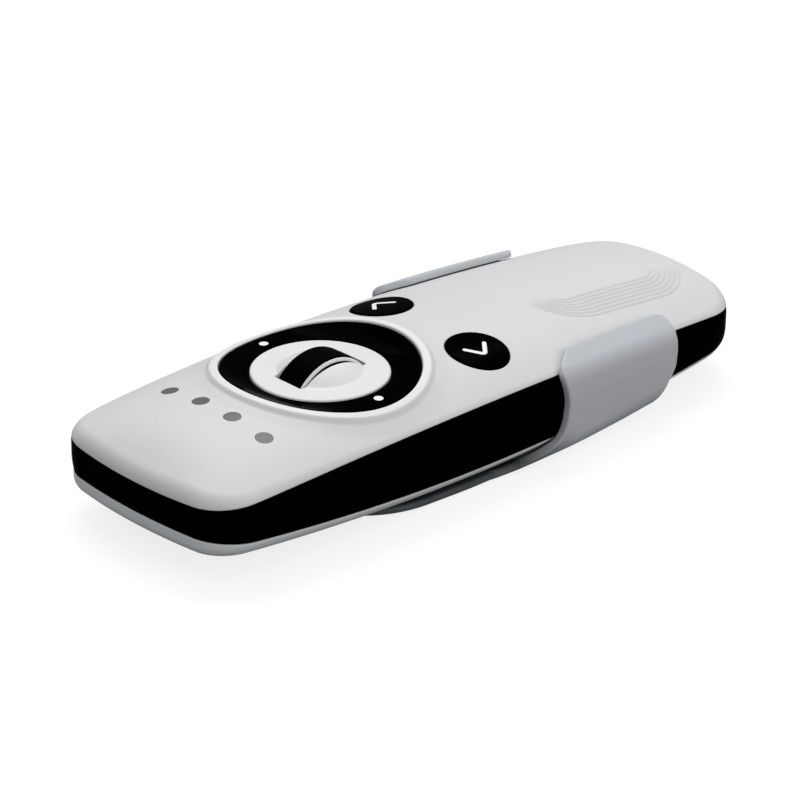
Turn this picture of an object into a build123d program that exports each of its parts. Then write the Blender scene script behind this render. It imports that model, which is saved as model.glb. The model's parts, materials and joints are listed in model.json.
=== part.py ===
"""A smart home remote control lying in its wall holder, as separate pieces in millimetres.

The pieces are drawn about the centre of the pad's flat top: X across the handset, Y towards
its far end, Z up. They are then moved so that the holder's flat back lies on Z = 0 and the
handset's length is centred on Y = 0.
"""
from build123d import *

import math
import os

# Handset, seen from above
body_length = 134.15
body_half_width = 24.1
pad_from_near_end = 43.95
widest_from_pad = 12.0
side_bow_radius = 862.0
near_bow_radius = 104.0
far_bow_radius = 200.0
near_corner_radius = 9.0
far_corner_radius = 11.5

# Handset, seen from the side
crown_height = 1.23
crown_slope = 0.0165
crown_length_radius = 625.0
crown_cross_radius = 67.6
near_roll_depth = 3.0
near_roll_length = 14.0
far_roll_depth = 0.4
far_roll_length = 12.0
side_roll_depth = 1.05
side_roll_width = 10.0
belly_depth = 19.0
belly_from_pad = 26.0
belly_radius = 720.0
top_edge_radius = 3.2
bottom_edge_radius = 4.0
knee_depth = 9.0
lower_draft = 6.5
upper_joint_depth = 4.08
upper_joint_from_pad = 12.0
upper_joint_radius = 847.0
lower_joint_depth = 17.0
lower_joint_from_pad = 35.0
lower_joint_radius = 588.0
shell_wall = 1.8

# Collar round the pad
collar_inner_radius = 18.06
collar_rim_width = 1.5
collar_slope_width = 1.3
collar_rise = 1.0
well_wall = 1.5
well_depth = 4.2
well_overlap = 0.2

# Engraved lines near the far end
line_count = 7
line_pitch_across = 1.13
line_pitch_along = 0.85
line_width = 0.35
line_depth = 0.18
lines_half_width = 13.9
lines_start = 47.2
lines_end = 85.8
lines_corner_radius = 8.0

# Rocker ring
key_gap = 0.25
ring_rest_drop = 0.3
ring_inner_radius = 12.8
ring_underside_depth = 3.2
ring_groove_depth = 1.4
ring_groove_wall = 1.2
ring_pin_radius = 0.8
ring_pin_depth = 1.6
ring_pin_reach = 0.9
pin_hole_depth = 1.2
pin_hole_mouth = 1.0
dish_margin = 4.0
running_gap = 0.05
mark_radius = 0.87
mark_from_centre = 15.1
mark_depth = 0.5

# Pad with its dome
pad_radius = 12.5
pad_thickness = 1.6
pad_skirt_wall = 1.1
pad_skirt_depth = 3.4
dome_radius = 7.7
dome_height = 2.75
pad_travel = 0.5

# Scroll wheel
wheel_radius = 10.0
wheel_axis_depth = 6.8
wheel_gap = 0.35
tread_half_width = 2.85
rim_half_width = 3.3
rim_bevel = 0.35
tread_thickness = 1.4
axle_radius = 1.0
axle_overhang = 0.3

# Bracket that carries the wheel under the pad
yoke_plate_thickness = 1.4
yoke_plate_gap = 0.15
ear_gap = 0.6
ear_thickness = 1.4
ear_half_length = 3.5
ear_below_axle = 2.8
encoder_length = 2.6
encoder_half_height = 3.7

# Round buttons
button_radius = 5.97
button_x = 12.53
button_y = 26.39
button_stand = 0.12
button_height = 4.6
button_flange_width = 1.0
button_flange_thickness = 0.7
chevron_reach = 1.8
chevron_back = 1.0
chevron_half_height = 2.4
chevron_stroke = 0.85
chevron_depth = 0.35

# Status windows
window_radius = 1.59
window_inner_x = 4.16
window_outer_x = 12.44
window_y = -24.15

# Circuit board and what is on it
board_top_depth = 8.0
board_thickness = 1.2
board_gap = 0.6
board_far_y = 72.0
board_slot_gap = 1.0
dome_base_radius = 3.0
dome_tip_radius = 1.6
pad_post_radius = 1.3
pad_post_x = 6.6
pad_post_y = 7.2
pad_post_depth = 4.6
dome_hollow_share = 0.7
led_size = 1.6
led_height = 0.7
led_gap = 0.1
switch_size = 6.0
switch_body_height = 3.4
switch_stem_radius = 1.7
switch_gap = 0.55
controller_size = 7.0
controller_height = 0.9
controller_y = 24.0
radio_size = 5.0
radio_height = 0.9
radio_y = 44.0
crystal_length = 3.2
crystal_width = 2.5
crystal_height = 0.8
crystal_x = 7.0
antenna_radius = 2.0
antenna_wall = 0.6
antenna_length = 22.0
antenna_y = 60.0
capacitor_radius = 2.0
capacitor_height = 5.0
capacitor_x = 11.0
capacitor_y = 62.0

# Coin cell, its holder, contacts and cap
cell_radius = 12.25
cell_height = 5.0
cell_rim_radius = 0.6
cell_y = 26.0
cell_top_gap = 2.8
cell_cage_gap = 0.15
cell_cage_wall = 1.3
cell_cage_height = 6.4
contact_thickness = 0.3
contact_width = 4.0
spring_half_length = 5.0
spring_back_length = 1.0
plus_foot_length = 3.0
cap_radius = 14.0
cap_gap = 0.2
cap_thickness = 1.4
cap_recess = 0.3
lug_count = 3
lug_reach = 1.4
lug_overlap = 1.4
lug_thickness = 1.0
lug_width = 5.0
coin_slot_length = 15.0
coin_slot_width = 2.2
coin_slot_depth = 0.9

# Program button in the underside
prog_y = -22.0
prog_radius = 1.5
prog_recess = 0.4
prog_flange_radius = 2.5
prog_flange_thickness = 0.7
prog_travel = 0.5
prog_stem_length = 0.6

# Case screws
near_screw_x = 15.6
near_screw_y = -32.0
far_screw_x = 14.6
far_screw_y = 66.0
screw_radius = 1.0
screw_length = 10.4
screw_head_radius = 2.1
screw_head_height = 1.3
boss_radius = 2.7
screw_hole_gap = 0.2
screw_recess = 0.4
screw_tip_gap = 0.4

# Wall holder
holder_gap = 0.3
arm_thickness = 1.7
lip_thickness = 1.4
holder_depth = 21.0
holder_edge_radius = 6.0
holder_top_radius = 3.6
holder_back_trim = 0.6
arm_front_y = 35.8
arm_front_depth = 3.8
arm_top_set_back = 3.2
arm_top_depth = 1.2
arm_waist_set_back = 1.5
arm_waist_depth = 11.5
arm_toe_set_back = 0.7
arm_toe_depth = 15.0
arm_foot_y = 29.6
arm_rear_y = 66.5
arm_rear_depth = 12.0
arm_rear_top_y = 64.4
arm_rear_top_depth = 2.6
arm_heel_y = 64.2
arm_heel_depth = 17.6
lip_front_x = 20.4
lip_front_y = 39.8
lip_rear_x = 18.6
lip_rear_y = 64.8
lip_corner_width = 4.2
lip_corner_length = 3.9
lip_cut_depth = 6.0
tongue_front_y = -11.4
tongue_rear_y = 32.0
tongue_half_width = 22.1
tongue_corner_radius = 18.0
tongue_edge_radius = 1.2
wall_hole_radius = 1.9
wall_hole_head_radius = 3.3
wall_hole_near_y = 0.0
wall_hole_spacing = 28.0

# Worked out from the sizes above
near_y = -pad_from_near_end
far_y = body_length - pad_from_near_end
board_bottom_depth = board_top_depth + board_thickness
reach = 2.0 * body_length
tall = 60.0
slab_margin = 12.0


def side_width(y):
    """Half the handset's width at a place along its length."""
    return body_half_width - (y - widest_from_pad) ** 2 / (2.0 * side_bow_radius)


def crown_at(x, y):
    """Height of the crowned top: arched both ways and rolled down towards both ends."""
    height = crown_height + crown_slope * y
    height -= y**2 / (2.0 * crown_length_radius)
    height -= x**2 / (2.0 * crown_cross_radius)
    middle = max(0.0, 1.0 - (x / body_half_width) ** 2)
    near_share = max(0.0, (near_y + near_roll_length - y) / near_roll_length)
    far_share = max(0.0, (y - far_y + far_roll_length) / far_roll_length)
    height -= near_roll_depth * near_share**2 * middle
    height -= far_roll_depth * far_share**2 * middle
    side_share = max(0.0, (abs(x) - side_width(y) + side_roll_width) / side_roll_width)
    height -= side_roll_depth * side_share**2
    return height


def outline(grow=0.0):
    """Plan of the handset, grown or shrunk: four bowed sides with rounded corners."""
    near_half = side_width(near_y) + grow
    far_half = side_width(far_y) + grow
    near_corner_y = near_y - grow + near_half**2 / (2.0 * (near_bow_radius + grow))
    far_corner_y = far_y + grow - far_half**2 / (2.0 * (far_bow_radius + grow))
    middle_y = (near_corner_y + far_corner_y) / 2.0
    middle_half = side_width(middle_y) + grow
    near_left = (-near_half, near_corner_y)
    near_right = (near_half, near_corner_y)
    far_left = (-far_half, far_corner_y)
    far_right = (far_half, far_corner_y)
    sides = [
        ThreePointArc(near_left, (0.0, near_y - grow), near_right),
        ThreePointArc(near_right, (middle_half, middle_y), far_right),
        ThreePointArc(far_right, (0.0, far_y + grow), far_left),
        ThreePointArc(far_left, (-middle_half, middle_y), near_left),
    ]
    plan = make_face(sides)
    corners = plan.vertices().sort_by(Axis.Y)
    plan = fillet(corners[:2], near_corner_radius + grow)
    corners = [v for v in plan.vertices() if v.Y > far_corner_y - 0.01]
    return fillet(corners, far_corner_radius + grow)


def crown_surface():
    """The crowned top as one smooth face, wider than the handset."""
    margin = 8.0
    x_steps = 16
    y_steps = 48
    span_x = body_half_width + margin
    rows = []
    for i in range(x_steps + 1):
        x = -span_x + 2.0 * span_x * i / x_steps
        row = []
        for j in range(y_steps + 1):
            y = near_y - margin + (body_length + 2.0 * margin) * j / y_steps
            row.append(Vector(x, y, crown_at(x, y)))
        rows.append(row)
    return Face.make_surface_from_array_of_points(rows, tol=0.005, min_deg=3, max_deg=5)


crown_face = crown_surface()


def above_crown(rise=0.0):
    """Everything over the crowned top, raised or lowered."""
    return extrude(Pos(0.0, 0.0, rise) * crown_face, amount=tall, dir=(0.0, 0.0, 1.0))


def arc_slab(depth, middle_y, radius, bends_up, above):
    """Everything above or below an arc drawn in the side view and carried across X."""
    near = near_y - slab_margin
    far = far_y + slab_margin
    sign = 1.0 if bends_up else -1.0
    near_z = -depth + sign * (near - middle_y) ** 2 / (2.0 * radius)
    far_z = -depth + sign * (far - middle_y) ** 2 / (2.0 * radius)
    limit = tall if above else -tall
    edges = [
        ThreePointArc((near, near_z), (middle_y, -depth), (far, far_z)),
        Line((far, far_z), (far, limit)),
        Line((far, limit), (near, limit)),
        Line((near, limit), (near, near_z)),
    ]
    profile = Plane.YZ * make_face(edges)
    return extrude(profile, amount=tall, both=True)


def belly_slab(drop=0.0):
    """Everything below the handset's curved underside."""
    return arc_slab(belly_depth + drop, belly_from_pad, belly_radius, True, False)


def body_blank(grow=0.0):
    """Sides of the handset: upright down to the knee, then drawn in towards the underside."""
    knee = Pos(0.0, 0.0, -knee_depth) * outline(grow)
    upper = extrude(knee, amount=tall / 2.0)
    drop = tall / 4.0
    drawn_in = drop * math.tan(math.radians(lower_draft))
    foot = Pos(0.0, 0.0, -knee_depth - drop) * outline(grow - drawn_in)
    return upper + loft([foot, knee], ruled=True)


def plain_form(sides, top, bottom):
    """The handset's form before its edges are rounded."""
    return body_blank(sides) - above_crown(top) - belly_slab(bottom)


def rounded_form(sides, top, bottom, top_radius, bottom_radius):
    """A closed form like the handset's, grown by its own distance at the sides, top and bottom."""
    block = plain_form(sides, top, bottom)
    top_face = block.faces().sort_by(Axis.Z)[-1]
    block = fillet(top_face.edges(), top_radius)
    bottom_face = block.faces().sort_by(Axis.Z)[0]
    return fillet(bottom_face.edges(), bottom_radius)


def body_form(grow=0.0):
    """The handset's closed outer form, grown or shrunk by one distance all round."""
    return rounded_form(grow, grow, grow, top_edge_radius + grow, bottom_edge_radius + grow)


def upright(radius, low, high, x=0.0, y=0.0):
    """A round upright solid between two heights."""
    return Pos(x, y, (low + high) / 2.0) * Cylinder(radius, high - low)


def block_between(x_low, x_high, y_low, y_high, z_low, z_high):
    """A box between two corners."""
    middle = Pos((x_low + x_high) / 2.0, (y_low + y_high) / 2.0, (z_low + z_high) / 2.0)
    return middle * Box(x_high - x_low, y_high - y_low, z_high - z_low)


def across(radius, x_low, x_high, y, z):
    """A round bar along X."""
    bar = Cylinder(radius, x_high - x_low, rotation=(0.0, 90.0, 0.0))
    return Pos((x_low + x_high) / 2.0, y, z) * bar


def along(radius, y_low, y_high, x, z):
    """A round bar along Y."""
    bar = Cylinder(radius, y_high - y_low, rotation=(90.0, 0.0, 0.0))
    return Pos(x, (y_low + y_high) / 2.0, z) * bar


outer_form = body_form()
inner_form = plain_form(-shell_wall, -shell_wall, -shell_wall)
inner_sides = body_blank(-shell_wall)
hollow_body = outer_form - inner_form
over_inner_floor = arc_slab(belly_depth - shell_wall, belly_from_pad, belly_radius, True, True)
over_upper_joint = arc_slab(upper_joint_depth, upper_joint_from_pad, upper_joint_radius, False, True)
over_lower_joint = arc_slab(lower_joint_depth, lower_joint_from_pad, lower_joint_radius, True, True)
under_lower_joint = arc_slab(lower_joint_depth, lower_joint_from_pad, lower_joint_radius, True, False)
window_places = [
    (x, window_y) for x in (-window_outer_x, -window_inner_x, window_inner_x, window_outer_x)
]
screw_places = [
    (-near_screw_x, near_screw_y),
    (near_screw_x, near_screw_y),
    (-far_screw_x, far_screw_y),
    (far_screw_x, far_screw_y),
]
post_places = [
    (side * pad_post_x, end * pad_post_y) for side in (-1.0, 1.0) for end in (-1.0, 1.0)
]


def belly_at(y):
    """Height of the handset's underside at a place along its length."""
    return -belly_depth + (y - belly_from_pad) ** 2 / (2.0 * belly_radius)


def collar():
    """The raised rim round the pad, with a sloped foot and a well wall below it."""
    foot_radius = collar_inner_radius + collar_rim_width + collar_slope_width
    rim_radius = collar_inner_radius + collar_rim_width
    low = crown_at(foot_radius, 0.0) - shell_wall / 2.0
    high = crown_at(0.0, rim_radius) + collar_rise
    slope = Cone(foot_radius + collar_slope_width, rim_radius, high - low)
    rim = Pos(0.0, 0.0, (low + high) / 2.0) * slope
    rim -= above_crown(collar_rise)
    well = upright(collar_inner_radius + well_wall, -well_depth, low + well_overlap)
    return rim + (well - above_crown(-shell_wall / 2.0))


def engraved_lines():
    """Nested fine grooves that follow a rounded rectangle near the far end."""
    middle_y = (lines_start + lines_end) / 2.0
    grooves = []
    for i in range(line_count):
        half_width = lines_half_width - i * line_pitch_across
        half_length = (lines_end - lines_start) / 2.0 - i * line_pitch_along
        radius = lines_corner_radius - i * line_pitch_along
        shape = RectangleRounded(2.0 * half_width, 2.0 * half_length, radius)
        inside = RectangleRounded(
            2.0 * (half_width - line_width), 2.0 * (half_length - line_width), radius - line_width
        )
        ring = extrude(Pos(0.0, middle_y, -tall / 4.0) * (shape - inside), amount=tall / 2.0)
        grooves.append(ring & above_crown(-line_depth))
    return grooves


def make_top_shell():
    """Crowned cover with its collar, well, bosses and holes."""
    shell = (hollow_body & over_upper_joint) + collar()
    for x, y in screw_places:
        shell += upright(boss_radius, -board_top_depth, 0.0, x, y) - above_crown(-shell_wall / 2.0)
    shell -= upright(collar_inner_radius, -tall, tall)
    for end in (-1.0, 1.0):
        pin_hole = along(ring_pin_radius + running_gap, -collar_inner_radius - pin_hole_depth,
                         -collar_inner_radius + pin_hole_mouth, 0.0, -ring_pin_depth)
        shell -= Rot(0.0, 0.0, 90.0 * (end + 1.0)) * pin_hole
        shell -= upright(button_radius + key_gap, -tall, tall, end * button_x, button_y)
    for x, y in window_places:
        shell -= upright(window_radius, -tall, tall, x, y)
    for x, y in screw_places:
        shell -= upright(screw_radius + running_gap, -tall / 2.0, crown_at(x, y) - shell_wall - screw_tip_gap,
                         x, y)
    for groove in engraved_lines():
        shell -= groove
    return shell


def make_side_band():
    """Gloss frame between the two joints."""
    return outer_form - inner_sides - over_upper_joint - under_lower_joint


def cap_hole_height():
    """Height of the battery cap's outer face, just inside the underside."""
    return -belly_depth + cap_recess


def make_bottom_shell():
    """Lower half with screw posts, wheel pocket, battery hole and program button hole."""
    shell = hollow_body - over_lower_joint
    shell += (outer_form & inner_sides) - over_inner_floor
    for x, y in screw_places:
        post = upright(boss_radius, belly_at(y) + shell_wall / 2.0, -board_bottom_depth, x, y)
        shell += post
    for x, y in screw_places:
        seat = belly_at(y) + screw_recess + screw_head_height
        shell -= upright(screw_radius + screw_hole_gap, -tall, 0.0, x, y)
        shell -= upright(screw_head_radius + screw_hole_gap, -tall, seat, x, y)
    pocket = wheel_radius + pad_travel + wheel_gap
    pocket_half = rim_half_width + board_slot_gap
    shell -= across(pocket, -pocket_half, pocket_half, 0.0, -wheel_axis_depth)
    shell -= upright(cap_radius + cap_gap, -tall, 0.0, 0.0, cell_y)
    for i in range(lug_count):
        notch = block_between(0.0, cap_radius + lug_reach + cap_gap, -lug_width / 2.0 - cap_gap,
                              lug_width / 2.0 + cap_gap, -tall, 0.0)
        angle = 360.0 / lug_count * (i + 0.5)
        shell -= Pos(0.0, cell_y, 0.0) * Rot(0.0, 0.0, angle) * notch
    shell -= upright(prog_radius + key_gap / 2.0, -tall, 0.0, 0.0, prog_y)
    return shell


def make_battery_cap():
    """Round cap with bayonet lugs inside and a coin slot outside."""
    low = cap_hole_height()
    cap = upright(cap_radius, low, low + cap_thickness, 0.0, cell_y)
    floor = belly_at(cell_y + cap_radius) + shell_wall
    lug_low = max(low + cap_thickness, floor) + cap_gap
    for i in range(lug_count):
        lug = block_between(cap_radius - lug_overlap, cap_radius + lug_reach, -lug_width / 2.0, lug_width / 2.0,
                            low + cap_thickness / 2.0, lug_low + lug_thickness)
        lug -= block_between(cap_radius, 2.0 * cap_radius, -lug_width, lug_width, -tall, lug_low)
        cap += Pos(0.0, cell_y, 0.0) * Rot(0.0, 0.0, 360.0 / lug_count * i) * lug
    cap -= block_between(-coin_slot_length / 2.0, coin_slot_length / 2.0, cell_y - coin_slot_width / 2.0,
                         cell_y + coin_slot_width / 2.0, low - 1.0, low + coin_slot_depth)
    return cap


def make_rocker_ring():
    """Dished ring that follows the collar outside and the pad inside, with two pivot pins."""
    outer = collar_inner_radius - key_gap
    ring = upright(outer, -ring_underside_depth, tall / 4.0)
    ring -= above_crown(collar_rise - ring_rest_drop)
    dish_rise = crown_at(0.0, outer) + collar_rise
    dish_radius = outer + dish_margin
    dish_height = dish_rise * (dish_radius - ring_inner_radius) / (outer - ring_inner_radius)
    dish = Pos(0.0, 0.0, dish_height / 2.0) * Cone(ring_inner_radius, dish_radius, dish_height)
    ring -= dish
    ring -= upright(ring_inner_radius, -tall, tall)
    groove_out = outer - ring_groove_wall
    groove_in = ring_inner_radius + ring_groove_wall
    groove = upright(groove_out, -tall, -ring_underside_depth + ring_groove_depth)
    ring -= groove - upright(groove_in, -tall, tall)
    for end in (-1.0, 1.0):
        bar = along(ring_pin_radius, groove_in, outer + ring_pin_reach, 0.0, -ring_pin_depth)
        ring += Rot(0.0, 0.0, 90.0 * (end + 1.0)) * bar
        ring -= upright(mark_radius, ring_mark_floor(), tall, end * mark_from_centre, 0.0)
    return ring


def ring_mark_floor():
    """Bottom of the pockets for the ring's two marks."""
    dish = (mark_from_centre - ring_inner_radius) * (crown_at(0.0, collar_inner_radius) + collar_rise)
    dish /= collar_inner_radius - key_gap - ring_inner_radius
    crown = crown_at(mark_from_centre, 0.0) + collar_rise - ring_rest_drop
    return min(dish, crown) - mark_depth


def make_ring_marks():
    """Two round inlays, cut off level with the ring's top."""
    marks = []
    for side in (-1.0, 1.0):
        mark = upright(mark_radius, ring_mark_floor(), tall / 4.0, side * mark_from_centre, 0.0)
        marks.append(mark - above_crown(collar_rise - ring_rest_drop))
    return Compound(children=[solid for mark in marks for solid in mark.solids()])


def make_pad_disc():
    """Flat pad with a low dome in the middle, a skirt and the wheel's slot."""
    disc = upright(pad_radius, -pad_skirt_depth, 0.0)
    disc -= upright(pad_radius - pad_skirt_wall, -tall, -pad_thickness)
    ball_radius = (dome_radius**2 + dome_height**2) / (2.0 * dome_height)
    ball = Pos(0.0, 0.0, dome_height - ball_radius) * Sphere(ball_radius)
    disc += ball - block_between(-tall, tall, -tall, tall, -tall, -pad_thickness / 2.0)
    slot_half = rim_half_width + wheel_gap
    return disc - across(wheel_radius + wheel_gap, -slot_half, slot_half, 0.0, -wheel_axis_depth)


def make_wheel_yoke():
    """Bracket under the pad: a round plate, two ears for the axle and four pressing posts."""
    plate_low = -pad_thickness - yoke_plate_thickness
    plate_radius = pad_radius - pad_skirt_wall - yoke_plate_gap
    yoke = upright(plate_radius, plate_low, -pad_thickness)
    slot_half = rim_half_width + wheel_gap
    yoke -= across(wheel_radius + wheel_gap, -slot_half, slot_half, 0.0, -wheel_axis_depth)
    for side in (-1.0, 1.0):
        ear_in = rim_half_width + ear_gap
        ear = block_between(ear_in, ear_in + ear_thickness, -ear_half_length, ear_half_length,
                            -wheel_axis_depth - ear_below_axle, plate_low)
        yoke += Rot(0.0, 0.0, 90.0 - 90.0 * side) * ear
    for x, y in post_places:
        yoke += upright(pad_post_radius, -pad_post_depth, plate_low, x, y)
    hole = axle_radius + running_gap
    yoke -= across(hole, -pad_radius, pad_radius, 0.0, -wheel_axis_depth)
    return yoke


def make_wheel_encoder():
    """Encoder block on the yoke's right ear, with the axle's end running in it."""
    low_x = rim_half_width + ear_gap + ear_thickness
    middle = -wheel_axis_depth
    body = block_between(low_x, low_x + encoder_length, -encoder_half_height, encoder_half_height,
                         middle - ear_below_axle, middle + encoder_half_height)
    return body - across(axle_radius + running_gap, 0.0, pad_radius, 0.0, middle)


def make_wheel_hub():
    """Wheel body with two bevelled rims and a waist for the tread."""
    hub = across(wheel_radius, -rim_half_width, rim_half_width, 0.0, -wheel_axis_depth)
    hub = chamfer(hub.edges().filter_by(GeomType.CIRCLE), rim_bevel)
    waist = across(2.0 * wheel_radius, -tread_half_width, tread_half_width, 0.0, -wheel_axis_depth)
    waist -= across(wheel_radius - tread_thickness, -tread_half_width, tread_half_width, 0.0,
                    -wheel_axis_depth)
    hub -= waist
    return hub - across(axle_radius, -tall, tall, 0.0, -wheel_axis_depth)


def make_wheel_tyre():
    """Soft tread round the hub's waist."""
    tyre = across(wheel_radius, -tread_half_width, tread_half_width, 0.0, -wheel_axis_depth)
    return tyre - across(wheel_radius - tread_thickness, -tall, tall, 0.0, -wheel_axis_depth)


def make_wheel_axle():
    """Steel axle through the hub, the ears and the encoder."""
    ear_out = rim_half_width + ear_gap + ear_thickness
    return across(axle_radius, -ear_out - axle_overhang, ear_out + encoder_length + axle_overhang, 0.0,
                  -wheel_axis_depth)


def button_bottom():
    """Height of the underside of both buttons."""
    return crown_at(button_x, button_y) - button_height


def chevron_solid(side, low, high):
    """An outward-pointing chevron stroke with round ends, between two heights."""
    tip = (button_x + chevron_reach, button_y)
    back_x = button_x - chevron_back
    stroke = None
    for end in (-1.0, 1.0):
        tail = (back_x, button_y + end * chevron_half_height)
        length = math.dist(tip, tail)
        angle = math.degrees(math.atan2(tail[1] - tip[1], tail[0] - tip[0]))
        middle = Pos((tip[0] + tail[0]) / 2.0, (tip[1] + tail[1]) / 2.0)
        arm = middle * Rot(0.0, 0.0, angle) * SlotCenterToCenter(length, chevron_stroke)
        stroke = arm if stroke is None else stroke + arm
    solid = extrude(Pos(0.0, 0.0, low) * stroke, amount=high - low)
    return solid if side > 0 else mirror(solid, about=Plane.YZ)


def make_button(side):
    """Round key that follows the crown, with a flange under the cover and a chevron pocket."""
    low = button_bottom()
    x = side * button_x
    key = upright(button_radius, low, tall / 4.0, x, button_y)
    key -= above_crown(button_stand)
    flange_low = low
    edge_x = button_x + button_radius + button_flange_width
    under_cover = crown_at(edge_x, button_y) - shell_wall - key_gap
    flange_high = min(flange_low + button_flange_thickness, under_cover)
    key += upright(button_radius + button_flange_width, flange_low, flange_high, x, button_y)
    pocket = chevron_solid(side, low, tall / 4.0)
    return key - (pocket & above_crown(button_stand - chevron_depth))


def make_chevron(side):
    """White inlay that fills the button's pocket."""
    solid = chevron_solid(side, button_bottom(), tall / 4.0)
    return (solid & above_crown(button_stand - chevron_depth)) - above_crown(button_stand)


def key_dome(x, y, top):
    """Hollow silicone dome between the board and a key."""
    height = top + board_top_depth
    place = Pos(x, y, -board_top_depth + height / 2.0)
    dome = place * Cone(dome_base_radius, dome_tip_radius, height)
    return dome - upright(dome_tip_radius / 2.0, -tall, -board_top_depth + height * dome_hollow_share, x, y)


def make_key_dome(side):
    """Return dome under one button."""
    return key_dome(side * button_x, button_y, button_bottom())


def make_pad_domes():
    """Four small return posts of silicone under the yoke."""
    posts = [upright(pad_post_radius, -board_top_depth, -pad_post_depth, x, y) for x, y in post_places]
    return Compound(children=[solid for post in posts for solid in post.solids()])


def make_light_guides():
    """Four light pipes, level with the cover and reaching down to the lamps."""
    low = -board_top_depth + led_height + led_gap
    guides = [upright(window_radius, low, tall / 4.0, x, y) - above_crown() for x, y in window_places]
    return Compound(children=[solid for guide in guides for solid in guide.solids()])


def make_status_leds():
    """Four lamps on the board under the light pipes."""
    half = led_size / 2.0
    top = -board_top_depth + led_height
    leds = [block_between(x - half, x + half, y - half, y + half, -board_top_depth, top)
            for x, y in window_places]
    return Compound(children=[solid for led in leds for solid in led.solids()])


def make_circuit_board():
    """Board that fills the body's inside, with a window for the wheel and screw holes."""
    plan = outline(-shell_wall - board_gap)
    board = extrude(Pos(0.0, 0.0, -board_bottom_depth) * plan, amount=board_thickness)
    board -= block_between(-tall, tall, board_far_y, reach, -tall, tall)
    slot_x = rim_half_width + board_slot_gap
    slot_y = wheel_radius + board_slot_gap
    board -= block_between(-slot_x, slot_x, -slot_y, slot_y, -tall, tall)
    ear_out = rim_half_width + ear_gap + ear_thickness
    pocket_y = encoder_half_height + board_slot_gap
    pocket_right = ear_out + encoder_length + board_slot_gap
    board -= block_between(-ear_out - board_slot_gap, pocket_right, -pocket_y, pocket_y, -tall, tall)
    for x, y in screw_places:
        board -= upright(screw_radius + screw_hole_gap, -tall, tall, x, y)
    return board


def switch(x, y, base, stem_top, upward):
    """A square push switch with a round stem, standing on or hanging from the board."""
    half = switch_size / 2.0
    sign = 1.0 if upward else -1.0
    body_end = base + sign * switch_body_height
    body = block_between(x - half, x + half, y - half, y + half, min(base, body_end), max(base, body_end))
    return body + upright(switch_stem_radius, min(base, stem_top), max(base, stem_top), x, y)


def make_ring_switches():
    """Two switches under the ring's marks."""
    top = -ring_underside_depth - switch_gap
    sides = [switch(side * mark_from_centre, 0.0, -board_top_depth, top, True) for side in (-1.0, 1.0)]
    return Compound(children=[solid for part in sides for solid in part.solids()])


def make_prog_switch():
    """Switch under the board, over the program button."""
    stem_top = -board_bottom_depth - switch_body_height - prog_stem_length
    return switch(0.0, prog_y, -board_bottom_depth, stem_top, False)


def make_prog_button():
    """Small pin with a flange inside the underside."""
    low = belly_at(prog_y) + prog_recess
    high = -board_bottom_depth - switch_body_height - prog_stem_length - prog_travel - led_gap
    floor = belly_at(prog_y - prog_flange_radius) + shell_wall + cap_gap
    pin = upright(prog_radius, low, high, 0.0, prog_y)
    return pin + upright(prog_flange_radius, floor, floor + prog_flange_thickness, 0.0, prog_y)


def chip(size_x, size_y, height, x, y):
    """A flat component on the board's top."""
    return block_between(x - size_x / 2.0, x + size_x / 2.0, y - size_y / 2.0, y + size_y / 2.0,
                         -board_top_depth, -board_top_depth + height)


def make_antenna_coil():
    """Hollow coil former lying across the board."""
    height = -board_top_depth + antenna_radius
    coil = across(antenna_radius, -antenna_length / 2.0, antenna_length / 2.0, antenna_y, height)
    return coil - across(antenna_radius - antenna_wall, -tall, tall, antenna_y, height)


def make_coin_cell():
    """Round cell with a rounded lower rim."""
    top = -board_bottom_depth - cell_top_gap
    cell = upright(cell_radius, top - cell_height, top, 0.0, cell_y)
    return fillet(cell.edges().filter_by(GeomType.CIRCLE).sort_by(Axis.Z)[0], cell_rim_radius)


def make_cell_holder():
    """Ring wall under the board round the cell, open at two sides for the contacts."""
    inner = cell_radius + cell_cage_gap
    low = -board_bottom_depth - cell_cage_height
    cage = upright(inner + cell_cage_wall, low, -board_bottom_depth, 0.0, cell_y)
    cage -= upright(inner, -tall, tall, 0.0, cell_y)
    half = contact_width / 2.0 + cell_cage_gap
    return cage - block_between(-half, half, cell_y, cell_y + 2.0 * cell_radius, -tall, tall)


def make_cell_minus_contact():
    """Spring strip between the board and the cell's top face."""
    half = contact_width / 2.0
    high = -board_bottom_depth
    low = high - cell_top_gap
    near = cell_y - spring_half_length
    far = cell_y + spring_half_length
    strip = block_between(-half, half, near, far, high - contact_thickness, high)
    strip += block_between(-half, half, far - contact_thickness, far, low, high)
    return strip + block_between(-half, half, cell_y - spring_back_length, far, low, low + contact_thickness)


def make_cell_plus_contact():
    """Strip that hangs from the board and bears on the cell's rim."""
    half = contact_width / 2.0
    high = -board_bottom_depth
    wall_y = cell_y + cell_radius + running_gap
    strip = block_between(-half, half, wall_y, wall_y + contact_thickness,
                          high - cell_cage_height, high)
    return strip + block_between(-half, half, wall_y, wall_y + plus_foot_length, high - contact_thickness, high)


def make_case_screws():
    """Four screws from the underside into the cover's bosses."""
    screws = []
    for x, y in screw_places:
        seat = belly_at(y) + screw_recess + screw_head_height
        head = upright(screw_head_radius, seat - screw_head_height, seat, x, y)
        screws.append(head + upright(screw_radius, seat, seat + screw_length, x, y))
    return Compound(children=[solid for screw in screws for solid in screw.solids()])


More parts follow.
